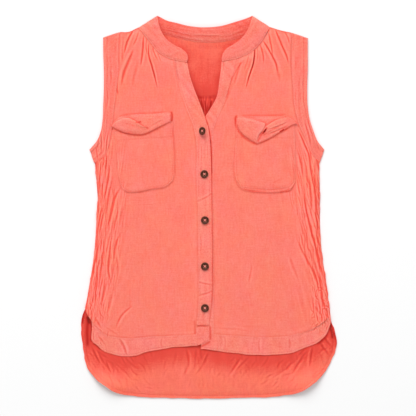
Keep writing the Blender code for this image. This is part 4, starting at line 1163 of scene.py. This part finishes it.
# %% Flaps
FLAP_RIGHT_LIPS = lips(
    (((-102, 486), (-112, 491), (-124, 499), (-135, 504), (-146, 505), (-160, 500), (-172, 489)),
     1.6, 1.1, 40),
    (((-132, 500), (-118, 490), (-104, 486)), 0.9, 1.0, 10),
)
FLAP_LEFT_LIPS = lips(
    (((92, 458), (95, 472), (104, 484), (108, 494), (94, 500), (76, 506), (58, 506)), 1.8, 1.1, 44),
    (((150, 508), (134, 505), (120, 498), (108, 489), (98, 478)), 1.4, 1.0, 16),
)
FLAP_RIGHT_CREASES = creases(
    (((-152, 497), (-132, 492), (-112, 484)), 3.0, 0.25, 0.2),
    (((-104, 487), (-88, 496), (-70, 504)), 2.6, 0.5, 0.2),
    (((-118, 508), (-96, 508), (-76, 511)), 2.0, 0.5, 0.0),
)
FLAP_LEFT_CREASES = creases(
    (((112, 484), (132, 490), (152, 500)), 2.2, 0.9, 0.2),
    (((108, 474), (124, 480), (140, 487)), 2.0, 0.8, 0.2),
    (((66, 500), (78, 488), (88, 470)), 4.0, 0.25, 0.2),
)


def make_flap(side, outline, lobes, folds, painted, seed):
    across, down = FLAP_CELLS
    plan = patch(smooth_run(outline["seam"], across), smooth_run(outline["edge"], across),
                 smooth_run(outline["start"], down), smooth_run(outline["end"], down))
    from_seam = away(plan, outline["seam"])
    loose = ease(from_seam / 8)
    rim = np.minimum.reduce([away(plan, outline[edge]) for edge in ("start", "edge", "end")])
    level = POCKET_LEVEL + 0.4 + (FLAP_LEVEL - POCKET_LEVEL) * ease(from_seam / 7)
    relief = loose * (lipped(plan, lobes) * (0.4 + 0.6 * ease(rim / 8)) + creased(plan, folds))
    relief += 0.25 * uneven(plan, 12, 9, seed) * loose
    top = level + CLOTH + relief - edge_drop(rim, 0.7, 2.2)
    # Painted shade in its creases, along the given lines and round its rim.
    piece = slab(f"{side}_flap", plan, top, CORAL_BANDS,
                 painted_crease_shade(relief, 3, 0.7) + shaded(plan, painted) + edge_drop(rim, 0.5, 1.8))
    sewn(piece, f"flap_{side}", (112, 52), share=0.72)
    stitch(np.dstack([plan, top]), "top", FLAP_STITCH, 4)


# %% [markdown]
# ## Bands, plackets and collar
#
# They are all folded double and topstitched, a little paler and smoother than the panels, because a folded
# band keeps its dye and its shape.  The V's edges stand off the back, so the inside of the neck lies partly
# in their real shade, and the rest of its darkness is painted shade on the back.

# %% Neck bands and plackets
NECK_LIFT = 2.6        # the V's inner edges stand up this much
BAND_CELLS = 26        # across a neck band or a placket, about one for each mm


def strip(sides, cells):
    """Grid of a narrow band between its sides, with the share of its width at each column and how far that
    column is from the nearer side."""
    sides = [smooth_run(side, cells) for side in sides]
    plan = patch(*(smooth_run([sides[0][end], sides[1][end]], BAND_CELLS) for end in (0, -1)), *sides)
    share = np.linspace(0.0, 1.0, BAND_CELLS + 1)[None, :]
    return plan, share, np.minimum(share, 1 - share) * BAND_CELLS


def make_band(name, node, plan, level, relief, painted, flat, lines, share=1.0, step=1):
    """The wall of a band folded double, and its lines of stitches, each at its distance from an edge."""
    top = level + DOUBLE + relief
    piece = slab(name, plan, top, CORAL_BANDS, painted_crease_shade(relief) + shaded(plan, painted), DOUBLE, step)
    sewn(piece, node, flat, share)
    for edge, inset in lines:
        stitch(np.dstack([plan, top]), edge, inset)


def make_neck_bands():
    for side, sides, laps, painted, seed in (
        ("right", (BAND_OUTER_RIGHT, BAND_INNER_RIGHT), True, [], 41),
        ("left", (BAND_INNER_LEFT, BAND_OUTER_LEFT), False, UNDERLAP_SHADES, 43),
    ):
        plan, share, rim = strip(sides, 110)
        y = plan[..., 1]
        crossing = ease((y - LAP_WHOLE) / 30) * ease((606 - y) / 24)
        inwards = share if laps else 1 - share
        level = FRONT_LEVEL + lap_rise(y) * laps + NECK_LIFT * ease(inwards * 1.1) * crossing
        relief = 0.22 * noise(plan[..., 0] / 8 + y / 9, y / 26, seed) * ease(rim / 4)
        relief -= groove(rim, 3.2, 0.3) + edge_drop(rim, 0.4, 1.5)
        make_band(f"{side}_neck_band", f"neck_band_{side}", plan, level, relief, painted, (27, 122),
                  (("left", 3.2), ("right", 3.2)))


PLACKET_CREASES = creases(
    (((-24, 352), (-8, 358), (20, 374)), 2.4, 0.5, 0.2),
    (((-22, 212), (-4, 208), (20, 203)), 2.4, 0.6, 0.2),
    (((-22, 184), (-6, 187), (20, 196)), 2.4, 0.6, -0.2),
    (((-8, 462), (-7, 440), (-8, 420)), 1.6, 0.5, 0.0),
    (((3, 466), (4, 440), (4, 424)), 1.6, 0.4, 0.0),
    (((-10, 300), (-8, 280), (-9, 258)), 1.6, 0.4, 0.0),
)


def make_plackets():
    for side, sides, level, folds, painted, under in (
        ("right", (PLACKET_OUTER, PLACKET_INNER), LAP_LEVEL, PLACKET_CREASES, PLACKET_SHADES + FOOT_SHADES,
         "left_placket"),
        ("left", (UNDERLAP_INNER, UNDERLAP_OUTER), FRONT_LEVEL, [], UNDERLAP_SHADES, "back"),
    ):
        plan, _, rim = strip(sides, 300)
        relief = creased(plan, folds) + 0.16 * uneven(plan, 4, 22, 47)
        relief -= groove(rim, 3.0, 0.3) + edge_drop(rim, 0.45, 1.5)
        make_band(f"{side}_placket", f"placket_{side}", plan, level, relief, painted,
                  (26, round(plan[0, 0, 1] - plan[-1, 0, 1])),
                  (("left", 3.0), ("right", 3.0)), step=2)


# %% Hem bands of the fronts
HEM_LIFT, HEM_REACH, HEM_WAVE = -0.7, 30, 27
HEM_CREASES = creases(
    (((-156, 110), (-147, 94), (-141, 76)), 3.2, 1.1, 0.3),
    (((-196, 118), (-186, 104), (-176, 92)), 2.6, 0.4, 0.1),
    (((98, 112), (96, 98), (97, 82)), 2.4, 0.5, 0.2),
    (((150, 112), (152, 98), (150, 84)), 2.4, 0.5, 0.0),
    (((34, 114), (36, 100), (34, 86)), 2.2, 0.4, 0.0),
    (((-78, 112), (-80, 100), (-78, 90)), 2.2, 0.4, 0.0),
)
HEM_CELLS, HEM_ROWS, LIP_CELLS, START_CELLS = 150, 30, 24, 16


def make_hem_bands():
    lip, lip_edge, start = (7, PLACKET_END - 2), (7, 104), (-8, 115.5)
    right = patch(
        joined(smooth_run(HEM_SEAM_RIGHT, HEM_CELLS),
               smooth_run([FRONT_CORNER_RIGHT, (-15.5, 129.5), lip], LIP_CELLS)),
        joined(smooth_run(HEM_EDGE_RIGHT, HEM_CELLS), smooth_run([(-17, 95), (-8, 98), lip_edge], LIP_CELLS)),
        smooth_run([HEM_SEAM_RIGHT[0], HEM_EDGE_RIGHT[0]], HEM_ROWS),
        smooth_run([lip, lip_edge], HEM_ROWS),
    )
    left = patch(
        joined(smooth_run([start, HEM_SEAM_LEFT[0]], START_CELLS), smooth_run(HEM_SEAM_LEFT, HEM_CELLS)),
        joined(smooth_run(HEM_EDGE_LEFT[:2], START_CELLS), smooth_run(HEM_EDGE_LEFT[1:], HEM_CELLS)),
        smooth_run([start, HEM_EDGE_LEFT[0]], HEM_ROWS),
        smooth_run([HEM_SEAM_LEFT[-1], HEM_EDGE_LEFT[-1]], HEM_ROWS),
    )
    for side, plan, seam, edge, painted in (
        ("right", right, HEM_SEAM_RIGHT, HEM_EDGE_RIGHT, FOOT_SHADES),
        ("left", left, HEM_SEAM_LEFT, HEM_EDGE_LEFT, UNDERLAP_SHADES),
    ):
        from_seam, from_edge = away(plan, seam), away(plan, edge)
        plan = rippled(plan, edge, 0.9, 97)
        x = plan[..., 0]
        wave = HEM_LIFT * (1.0 + 0.35 * np.cos(x / HEM_WAVE)) * ease(from_seam / HEM_REACH)
        if side == "right":
            level = FRONT_LEVEL + wave + (LAP_LEVEL - FRONT_LEVEL) * ease((x + 17 + LAP_ROUND) / LAP_ROUND)
        else:
            level = FRONT_LEVEL + wave * ease((x - 10) / LAP_ROUND)
        loose = ease(from_edge / 4)
        relief = creased(plan, HEM_CREASES) + 0.12 * uneven(plan, 9, 11, 51) * loose
        relief += 0.9 * creased(plan, VENT_CRINKLES_RIGHT + VENT_CRINKLES_LEFT) * loose
        relief -= groove(from_edge, 3.4, 0.3) + edge_drop(from_edge, 0.4, 1.6)
        flat_seam = ease((202 - abs(x)) / 22)
        relief -= flat_seam * (groove(from_seam, 3.0, 0.2) + edge_drop(from_seam, 0.2, 1.5))
        relief += 0.06 * uneven(plan, 2.8, 16, 52) * ease(from_edge / 3) * ease(from_seam / 3)
        make_band(f"{side}_hem_band", f"hem_band_{side}", plan, level, relief, painted, (245, 48),
                  (("bottom", 3.4), ("top", 3.0)), share=0.72)


# %% [markdown]
# ## Rings and standing bands
#
# An armhole band goes all round: over the shoulder, down the front of the armhole, under the arm and up
# the back.  Laid flat, its front half lies on its back half.  The collar is a strip that lies on the
# shoulders in front and stands up at the back of the neck.

# %% A wall on both sides of a surface
def shell(name, middle, thickness, finish, depth, ring=False, shade=0.0, inner_shade=None):
    """A wall of even thickness round a grid of points, kept above the table.  Its creases are painted in
    shade, and the shade is added all over.  With an inner shade, the inner face is crinkled too and painted
    in that shade."""
    if ring:
        along = np.roll(middle, -1, axis=0) - np.roll(middle, 1, axis=0)
    else:
        along = np.gradient(middle, axis=0)
    out = np.cross(along, np.gradient(middle, axis=1))
    out /= np.linalg.norm(out, axis=-1, keepdims=True)
    top = middle + out * (thickness / 2 + depth)[..., None]
    crinkled_inside = 0.0 if inner_shade is None else 0.7 * depth[..., None]
    under = middle - out * (thickness / 2 + crinkled_inside)
    for side in (top, under):
        side[..., 2] = np.maximum(side[..., 2], 0.0)
    across = np.cumsum(np.linalg.norm(np.diff(middle, axis=1, prepend=middle[:, :1]), axis=-1), axis=1)
    down = np.cumsum(np.linalg.norm(np.diff(middle, axis=0, prepend=middle[:1]), axis=-1), axis=0)
    middle_down = down[:, down.shape[1] // 2][:, None] + np.zeros_like(across)
    uv = np.dstack([across, middle_down])
    hollow = np.clip(0.5 + 1.3 * (blurred(depth, 3) - depth), 0.0, 1.0) + shade
    inner = None if inner_shade is None else hollow + inner_shade
    return wall(name, top, under, hollow, finish, uv, ring, inner), top


# %% Armhole bands
ARM_DROP = 0.4
UNDERARM_DROP = 1.5    # the band lies lower at the side seam
ARM_STITCH = 6.3       # the band's topstitching, in from its edge
ARM_CREASES = creases(
    (((-173, 488), (-177, 466), (-179, 440), (-181, 412)), 2.0, 1.6, 0.2),
    (((-184, 500), (-188, 480), (-187, 458), (-189, 436)), 2.0, 1.4, 0.2),
    (((-190, 480), (-193, 462), (-196, 446)), 2.0, 0.9, -0.2),
    (((-198, 458), (-196, 444), (-193, 426)), 1.8, 0.9, 0.1),
    (((-177, 560), (-176, 540), (-178, 520)), 2.0, 0.7, 0.1),
    (((-172, 600), (-170, 575), (-171, 555)), 2.2, 0.5, 0.1),
    (((183, 512), (188, 488), (194, 470)), 2.0, 0.8, 0.2),
    (((178, 500), (186, 472), (192, 448)), 2.4, 0.8, 0.2),
    (((196, 474), (201, 458), (206, 444)), 1.8, 0.8, 0.1),
    (((176, 560), (176, 540), (180, 516)), 2.2, 0.5, 0.1),
)
ARM_BAND_ROWS, ARM_BAND_COLUMNS, ROW_LENGTH = 150, 30, 1.6


def make_armhole_band(side, seam, edge, seed):
    inner, outer = (smooth_run(line, ARM_BAND_ROWS, 0.95) for line in (seam, edge))
    shares = np.linspace(0.0, 1.0, ARM_BAND_COLUMNS + 1)
    plan = np.stack([inner + share * (outer - inner) for share in shares], axis=1)
    front_middle, back_middle = FRONT_LEVEL - ARM_DROP + DOUBLE / 2 + 0.25, DOUBLE / 2
    low = 1 - ease((np.arange(len(plan))[::-1, None] * ROW_LENGTH - 3) / 30)
    front_height = front_middle - UNDERARM_DROP * low + 0 * plan[..., 0]

    def at(rows, height):
        return np.dstack([rows, np.zeros(rows.shape[:2]) + height])

    def fold(row, before, turns, height):
        """Rows round a fold, pushed out along the way that the band was going."""
        centre, radius = (height + back_middle) / 2, (height - back_middle) / 2
        forward = (row - before).mean(axis=0)
        across = (row[-1] - row[0]) / np.linalg.norm(row[-1] - row[0])
        forward -= across * forward.dot(across)
        forward /= np.linalg.norm(forward)
        return [at(row[None] + forward * radius * math.sin(turn), centre + radius * math.cos(turn))
                for turn in np.radians(turns)]

    down, up = range(20, 180, 20), range(160, 0, -20)
    middle = np.concatenate([at(plan, front_height)] + fold(plan[-1], plan[-2], down, front_height[-1, 0])
                            + [at(plan[::-1], back_middle)] + fold(plan[0], plan[1], up, front_height[0, 0]))
    width = np.linalg.norm(plan[:, -1] - plan[:, 0], axis=-1).mean()
    across, rows_down = shares[None, :] * width, np.arange(len(middle))[:, None] * ROW_LENGTH
    rim = np.minimum(shares, 1 - shares)[None, :] * width + np.zeros(middle.shape[:2])
    depth = 0.26 * noise(across / 3.4 + rows_down / 60, rows_down / 22 + 0 * rim, seed)
    depth += 0.15 * noise(across / 9, rows_down / 40 + 0 * rim, seed + 1)
    depth[: len(plan)] += creased(plan, ARM_CREASES)
    depth *= ease(rim / 3)
    depth -= groove(across, width - ARM_STITCH, 0.34) + edge_drop(rim, 0.3, 1.4)
    outside, inside = "right", "left"
    if side == "right":
        middle, depth = middle[:, ::-1], depth[:, ::-1]
        outside, inside = inside, outside
    piece, top = shell(f"{side}_armhole_band", middle, DOUBLE, CORAL_BANDS, depth, ring=True, shade=0.12)
    sewn(piece, f"armhole_band_{side}", (30, 470))
    stitch(top[: len(plan)], outside, ARM_STITCH, 1)
    stitch(top[: len(plan)], inside, 2.6, 1)


# %% The collar
COLLAR_BAND = table(
    "seam_x seam_y seam_z edge_x edge_y edge_z",
    (-34, 604.8, 3.8, -31.5, 612, 4.6),
    (-40, 606, 3.8, -33, 620, 5.2),
    (-48, 607.5, 3.8, -42, 629, 6.0),
    (-65, 611.5, 3.8, -52, 634, 7.0),
    (-82, 620.5, 3.8, -66, 643, 8.0),
    (-102, 643.5, 3.8, -80, 662, 8.6),
    (-117.5, 663.8, 3.6, -85.8, 684.5, 7.6),
    (-120.2, 667.4, 2.3, -86.4, 688.5, 5.4),
    (-116.6, 667.2, 1.0, -83.0, 687.2, 3.4),
    (-95, 662, 0.9, -70, 680.5, 4.4),
    (-73, 656, 0.9, -52, 676, 5.4),
    (-40, 646.4, 0.9, -30, 670.5, 6.8),
    (0, 641, 0.9, 0, 668, 7.4),
    (36, 643.4, 0.9, 30, 671, 6.8),
    (66, 650.6, 0.9, 54, 678, 5.4),
    (90, 660.5, 0.9, 70, 683, 4.4),
    (112.6, 667.8, 1.0, 81.2, 687.4, 3.4),
    (116.2, 668, 2.3, 83.8, 688.5, 5.4),
    (113.8, 664.2, 3.6, 83.0, 684, 7.6),
    (98, 638, 3.8, 72, 657, 8.6),
    (78, 620.5, 3.8, 61, 645, 8.0),
    (55, 611.5, 3.8, 48, 636, 7.0),
    (42, 609, 3.8, 37, 629, 6.0),
    (34, 607.5, 3.8, 31, 620, 5.2),
    (29.5, 606.5, 3.8, 29.3, 612, 4.6),
)
COLLAR_STITCH = 2.6
COLLAR_BOW = 0.3       # the collar's back curves up between its seam and its edge
# The share is where on the collar's height a fold runs round the neck, from x = left to x = right.
COLLAR_FOLDS = table(
    "share bend left right width depth",
    (0.38, 0.05, -30, 34, 1.4, 1.3),
    (0.30, 0.07, -84, -20, 1.3, 0.9),
    (0.34, -0.05, 18, 80, 1.3, 0.9),
    (0.14, -0.03, -58, 10, 1.1, 0.5),
    (0.62, 0.06, -70, -8, 1.0, 0.45),
    (0.70, 0.05, -6, 66, 1.1, 0.40),
    (0.82, -0.04, -52, 22, 0.9, 0.28),
    (0.33, 0.06, 20, 86, 1.0, 0.45),
    (0.54, -0.06, -92, -52, 1.0, 0.60),
    (0.28, 0.05, -96, -58, 1.0, 0.55),
    (0.56, 0.05, 58, 92, 1.0, 0.55),
)


def make_collar():
    path = smooth_run(COLLAR_BAND, 520)
    seam, edge = path[:, :3], path[:, 3:]
    shares = np.linspace(0.0, 1.0, 29)
    middle = np.stack([seam + share * (edge - seam) for share in shares], axis=1)
    at_back = (ease((95 - abs(seam[:, 0])) / 50) * (seam[:, 2] < 2))[:, None]
    middle[..., 2] += COLLAR_BOW * at_back * np.sin(np.pi * shares)
    width = np.linalg.norm(edge - seam, axis=-1)[:, None]
    across = shares[None, :] * width
    rim = np.minimum(across, width - across)
    reach = np.append(0.0, np.cumsum(np.linalg.norm(np.diff(seam, axis=0), axis=1)))[:, None]
    depth = 0.24 * noise(reach / 10 + across / 14, across / 12 + 0 * reach, 61) * ease(rim / 4)
    depth += 0.14 * noise(reach / 34, across / 4 + 0 * reach, 62) * ease(rim / 4)
    depth -= groove(rim, COLLAR_STITCH, 0.32, 0.9) + edge_drop(rim, 0.35, 1.4)
    x = seam[:, :1] + 0 * across
    inside = (seam[:, 2:] < 2) & (abs(x) < 118)
    for fold in COLLAR_FOLDS:
        run = np.clip((x - fold.left) / (fold.right - fold.left), 0, 1)
        place = (fold.share + fold.bend * np.sin(np.pi * run) + 0.02 * noise(x / 9, 0 * x, 63)) * width
        u = (across - place) / fold.width
        depth += 0.36 * fold.depth * faded(run, 0.3) * inside * (0.7 * bell(u - 2.0, 1.3) - bell(u, 1))
    # Painted shade on the collar's inner face, deeper towards its seam and its two ends.
    shade = inside * (0.04 + 0.16 * (1 - across / width) + 0.32 * ease((abs(x) - 18) / 56))
    piece, top = shell("collar", middle[:, ::-1], COLLAR, CORAL_BANDS, depth[:, ::-1],
                       inner_shade=shade[:, ::-1])
    sewn(piece, "collar_band", (28, 470))
    for edge_side in ("right", "left"):
        stitch(top, edge_side, COLLAR_STITCH)


# %% [markdown]
# ## Buttons
#
# Five four-hole buttons of a dark horn look, with a raised rim round a dish.  The profile is turned, the
# holes are cut through by a Boolean, and coral thread crosses between them.

# %% A turned button with four holes
BUTTON_WIDTH, BUTTON_THICKNESS = 14.4, 2.6
HOLE_WIDTH, HOLE_PLACE = 1.7, 1.75
BUTTONS = table("name x y tilt", ("button_1", -5, 481.5, 40), ("button_2", -2, 404, 0),
                ("button_3", -1, 321, 0), ("button_4", -1, 238, 0), ("button_5", -1, 163, 0))
BUTTON_SECTION = table(
    "radius height",
    (0.0, 0.0), (0.86, 0.0), (0.95, 0.08), (1.0, 0.25), (1.0, 0.6), (0.97, 0.84), (0.9, 0.97), (0.82, 1.0),
    (0.74, 0.95), (0.66, 0.78), (0.58, 0.66), (0.3, 0.58), (0.0, 0.56),
)


def horn_finish():
    """Dark horn, with paler clouds and streaks."""
    horn = Finish("dark_horn", Roughness=0.4, IOR=1.5, Specular_IOR_Level=0.12)
    place = horn.node("TexCoord", out=3)
    cloud = horn.node("TexNoise", Vector=place, Scale=260.0, Detail=4.0, Roughness=0.6, Distortion=0.8)
    streak = horn.node("TexWave", Vector=place, Scale=120.0, Distortion=7.0, Detail=3.0, out=1)
    mottled = (cloud * 1.2 + streak * 0.5 - 0.5).clamped()
    horn.feed(Base_Color=horn.mixed((0.030, 0.006, 0.003), (0.19, 0.062, 0.032), mottled),
              Roughness=0.32 + cloud * 0.25)
    return horn.material


def thread_finish(name, low, high):
    """Sewing thread, with paler patches painted on as highlights where its twist would catch the light."""
    finish = Finish(name, Roughness=0.6, Sheen_Weight=0.2)
    twist_highlight = finish.node("TexNoise", Vector=finish.node("TexCoord", out=3), Scale=2400.0, Detail=2.0)
    finish.feed(Base_Color=finish.mixed(low, high, twist_highlight))
    return finish.material


horn = horn_finish()
thread = thread_finish("coral_thread", (0.80, 0.16, 0.11), (0.93, 0.34, 0.27))
# A darker copy of the thread for the tail's hem: painted shade, to match the back's shaded inner face.
shaded_thread = thread_finish("deep_coral_thread", (0.74, 0.075, 0.05), (0.86, 0.15, 0.10))


def mesh_object(name, points, faces, finish):
    mesh = bpy.data.meshes.new(name)
    mesh.from_pydata([tuple(point) for point in points], [], faces)
    mesh.shade_smooth()
    mesh.set_sharp_from_angle(angle=math.radians(45))
    mesh.materials.append(finish)
    return placed(name, mesh)


def turned(name, section, sides, finish):
    """A closed solid turned round Z.  Its section starts and ends on the axis."""
    points, faces = [(0.0, 0.0, section[0][1])], []
    turns = [2 * math.pi * side / sides for side in range(sides)]
    for radius, height in section[1:-1]:
        points += [(radius * math.cos(turn), radius * math.sin(turn), height) for turn in turns]
    points.append((0.0, 0.0, section[-1][1]))
    last_ring = 1 + (len(section) - 3) * sides
    for side in range(sides):
        after = (side + 1) % sides
        faces.append((0, 1 + after, 1 + side))
        faces.append((len(points) - 1, last_ring + side, last_ring + after))
        for ring in range(1, last_ring, sides):
            faces.append((ring + side, ring + after, ring + sides + after, ring + sides + side))
    return mesh_object(name, points, faces, finish)


def baked(made):
    """The object's mesh as its modifiers leave it."""
    graph = bpy.context.evaluated_depsgraph_get()
    mesh = bpy.data.meshes.new_from_object(made.evaluated_get(graph))
    made.modifiers.clear()
    made.data = mesh
    return made


section = [(row.radius * BUTTON_WIDTH / 2, row.height * BUTTON_THICKNESS) for row in BUTTON_SECTION]
blank = turned("button_blank", section, 56, horn)
for number, (x, y) in enumerate(((1, 1), (-1, 1), (-1, -1), (1, -1))):
    drill = turned("drill", [(0, -1), (HOLE_WIDTH / 2, -1), (HOLE_WIDTH / 2, 4), (0, 4)], 16, horn)
    drill.data.transform(Matrix.Translation((x * HOLE_PLACE, y * HOLE_PLACE, 0)))
    cut = blank.modifiers.new(f"hole {number}", "BOOLEAN")
    cut.object, cut.operation = drill, "DIFFERENCE"
bpy.context.view_layer.update()
baked(blank)
for drill in [old for old in bpy.data.objects if old.name.startswith("drill")]:
    bpy.data.objects.remove(drill)
print("button faces:", len(blank.data.polygons))

# %% Strands of thread
def strung(name, paths, radius, sides, finish):
    """Round strands, closed at both ends, in one mesh."""
    points, faces = [], []
    for path in np.array(paths, float):
        start = len(points)
        along = np.gradient(path, axis=0)
        along /= np.linalg.norm(along, axis=1, keepdims=True)
        across = np.cross(along, (0.0, 0.0, 1.0))
        across /= np.linalg.norm(across, axis=1, keepdims=True)
        up = np.cross(across, along)
        for centre, side, top in zip(path, across, up):
            points += [centre + radius * (math.cos(turn) * side + math.sin(turn) * top)
                       for turn in (2 * math.pi * k / sides for k in range(sides))]
        for ring in range(start, start + (len(path) - 1) * sides, sides):
            faces += [(ring + k, ring + sides + k, ring + sides + (k + 1) % sides, ring + (k + 1) % sides)
                      for k in range(sides)]
        faces.append(tuple(range(start, start + sides)))
        faces.append(tuple(range(len(points) - 1, len(points) - 1 - sides, -1)))
    return mesh_object(name, points, faces, finish)


# %% [markdown]
# ## Laying the blouse out
#
# The pieces go down in the order in which they lie on the table.

# %% Every piece of cloth
make_back()
make_front(RIGHT_FRONT)
make_front(LEFT_FRONT)
make_pocket("right", POCKET_RIGHT, POCKET_RIGHT_SHADES, CRINKLES_RIGHT + SIDES_RIGHT, ("outer", "inner"), 71)
make_pocket("left", POCKET_LEFT, POCKET_LEFT_SHADES, CRINKLES_LEFT + SIDES_LEFT, ("inner", "outer"), 73)
make_flap("right", FLAP_RIGHT, FLAP_RIGHT_LIPS, FLAP_RIGHT_CREASES, FLAP_RIGHT_SHADES, 75)
make_flap("left", FLAP_LEFT, FLAP_LEFT_LIPS, FLAP_LEFT_CREASES, FLAP_LEFT_SHADES, 77)
make_neck_bands()
make_plackets()
make_hem_bands()
make_armhole_band("right", ARM_SEAM_RIGHT, ARM_EDGE_RIGHT, 81)
make_armhole_band("left", ARM_SEAM_LEFT, ARM_EDGE_LEFT, 83)
make_collar()

# %% Every button, with the thread that holds it
for row in BUTTONS:
    tilt = math.radians(row.tilt)
    seat = LAP_LEVEL + DOUBLE + LAYER_GAP + 0.43 * BUTTON_WIDTH * math.sin(tilt)
    place = (Matrix.Scale(MM, 4) @ Matrix.Translation((row.x + SHIFT[0], row.y + SHIFT[1], seat))
             @ Matrix.Rotation(-tilt, 4, "Y"))
    button = placed(f"horn_{row.name}", blank.data.copy())
    button.data.transform(place)
    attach(button, "root")
    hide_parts(row.name)
    strands = []
    for step in range(-2, 3):
        for start, end in (((-1, -1), (1, 1)), ((-1, 1), (1, -1))):
            offset = np.array([-start[1], start[0]]) * 0.16 * step
            path = []
            for share in np.linspace(0.0, 1.0, 9):
                flat = (np.array(start) * (1 - share) + np.array(end) * share) * HOLE_PLACE * 1.04 + offset
                lift = 1.42 + 0.55 * math.sin(math.pi * share) ** 0.5 + 0.22 * (start[1] > 0)
                path.append((*flat, lift if 0 < share < 1 else 0.5))
            strands.append(path)
    cross = strung(f"thread_{row.name}", strands, 0.20, 6, thread)
    cross.data.transform(place)
    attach(cross, "root")
bpy.data.objects.remove(blank)
print(len(BUTTONS), "buttons sewn on")

# %% [markdown]
# ## Topstitching
#
# A seam line is only a row of points at this stage.  Geometry Nodes measure it out into stitches: the line
# becomes a curve, the curve is cut into equal steps, and each step gets one small capsule of thread that
# points along it.

# %% The stitch tree
def stitch_tree():
    tree = bpy.data.node_groups.new("topstitching", "GeometryNodeTree")
    tree.interface.new_socket("Geometry", in_out="INPUT", socket_type="NodeSocketGeometry")
    for name, value in (("Pitch", 2.8 * MM), ("Length", 2.2 * MM), ("Width", 0.45 * MM)):
        tree.interface.new_socket(name, in_out="INPUT", socket_type="NodeSocketFloat").default_value = value
    tree.interface.new_socket("Thread", in_out="INPUT", socket_type="NodeSocketMaterial")
    tree.interface.new_socket("Geometry", in_out="OUTPUT", socket_type="NodeSocketGeometry")

    def add(kind, **settings):
        node = tree.nodes.new(kind)
        for setting, value in settings.items():
            setattr(node, setting, value)
        return node

    given, result = add("NodeGroupInput"), add("NodeGroupOutput")
    curve, steps = add("GeometryNodeMeshToCurve"), add("GeometryNodeResampleCurve", mode="LENGTH")
    bead = add("GeometryNodeMeshUVSphere")
    bead.inputs["Segments"].default_value, bead.inputs["Rings"].default_value = 6, 4
    bead.inputs["Radius"].default_value = 0.5
    size, tangent = add("ShaderNodeCombineXYZ"), add("GeometryNodeInputTangent")
    turn = add("FunctionNodeAlignRotationToVector", axis="X")
    copies, realize = add("GeometryNodeInstanceOnPoints"), add("GeometryNodeRealizeInstances")
    paint, smooth = add("GeometryNodeSetMaterial"), add("GeometryNodeSetShadeSmooth")
    for start, out_socket, end, in_socket in (
        (given, 0, curve, 0), (curve, 0, steps, 0), (given, "Pitch", steps, "Length"),
        (given, "Length", size, "X"), (given, "Width", size, "Y"), (given, "Width", size, "Z"),
        (tangent, 0, turn, "Vector"), (steps, 0, copies, 0), (bead, "Mesh", copies, "Instance"),
        (turn, 0, copies, "Rotation"), (size, 0, copies, "Scale"), (copies, 0, smooth, 0),
        (smooth, 0, realize, 0), (realize, 0, paint, 0), (given, "Thread", paint, "Material"),
        (paint, 0, result, 0),
    ):
        tree.links.new(start.outputs[out_socket], end.inputs[in_socket])
    return tree


# %% Sewing all the lines
def sew(name, lines, tree, finish):
    """Stitches along lines, in one mesh."""
    points, edges = [], []
    for line in lines:
        edges += [(len(points) + k, len(points) + k + 1) for k in range(len(line) - 1)]
        points += [tuple(point) for point in (line + SHIFT) * MM]
    mesh = bpy.data.meshes.new(name)
    mesh.from_pydata(points, edges, [])
    made = placed(name, mesh)
    stitched = made.modifiers.new("stitches", "NODES")
    stitched.node_group = tree
    keys = {item.name: item.identifier for item in tree.interface.items_tree if item.in_out == "INPUT"}
    stitched[keys["Thread"]] = finish
    bpy.context.view_layer.update()
    baked(made)
    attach(made, "root")
    count_triangles(made)


stitches = stitch_tree()
sew("topstitching", seams, stitches, thread)
sew("tail_stitching", tail_seams, stitches, shaded_thread)

# %% [markdown]
# ## Table, light and camera
#
# The blouse was photographed lying on white, from straight above, under a broad soft light from beyond the
# collar.  A long lens keeps the edges as straight as the photograph has them.

# %% Table
bpy.ops.mesh.primitive_plane_add(size=8.0, location=(0.0, 0.0, 0.0))
floor = bpy.context.object
floor.name = "table"
white = Finish("white_table", Base_Color=(0.80, 0.80, 0.80, 1.0), Roughness=0.9, Specular_IOR_Level=0.1)
floor.data.materials.append(white.material)
floor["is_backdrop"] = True

# %% Light
def soft_light(name, place, size, energy, aim=(0.0, 0.0, 0.0)):
    lamp = bpy.data.lights.new(name, "AREA")
    lamp.shape, lamp.size, lamp.energy = "DISK", size, energy
    light = placed(name, lamp)
    light.location = place
    light.rotation_euler = (Vector(aim) - Vector(place)).to_track_quat("-Z", "Y").to_euler()


soft_light("window", (-0.9, 5.0, 3.5), 4.4, 370.0)
world = bpy.data.worlds.new("white room")
bpy.context.scene.world = world
world.use_nodes = True
sky = world.node_tree.nodes["Background"]
sky.inputs["Color"].default_value = (1.0, 1.0, 1.0, 1.0)
sky.inputs["Strength"].default_value = 0.78
bpy.context.scene.view_settings.view_transform = "Standard"

# %% Camera
FRAME_WIDTH = 0.7488       # what the photograph is wide, at the blouse
LENS, SENSOR = 200.0, 36.0

camera = placed("camera", bpy.data.cameras.new("camera"))
camera.data.lens, camera.data.sensor_width = LENS, SENSOR
camera.data.clip_end = 50.0
camera.location = (-0.00135, -0.00165, FRAME_WIDTH * LENS / SENSOR + 0.004)
bpy.context.scene.camera = camera
print("camera height, m:", round(camera.location.z, 3))

# %% Sizes and finish
low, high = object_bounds()
print("visual model, mm:", [round(side / MM, 1) for side in high - low])
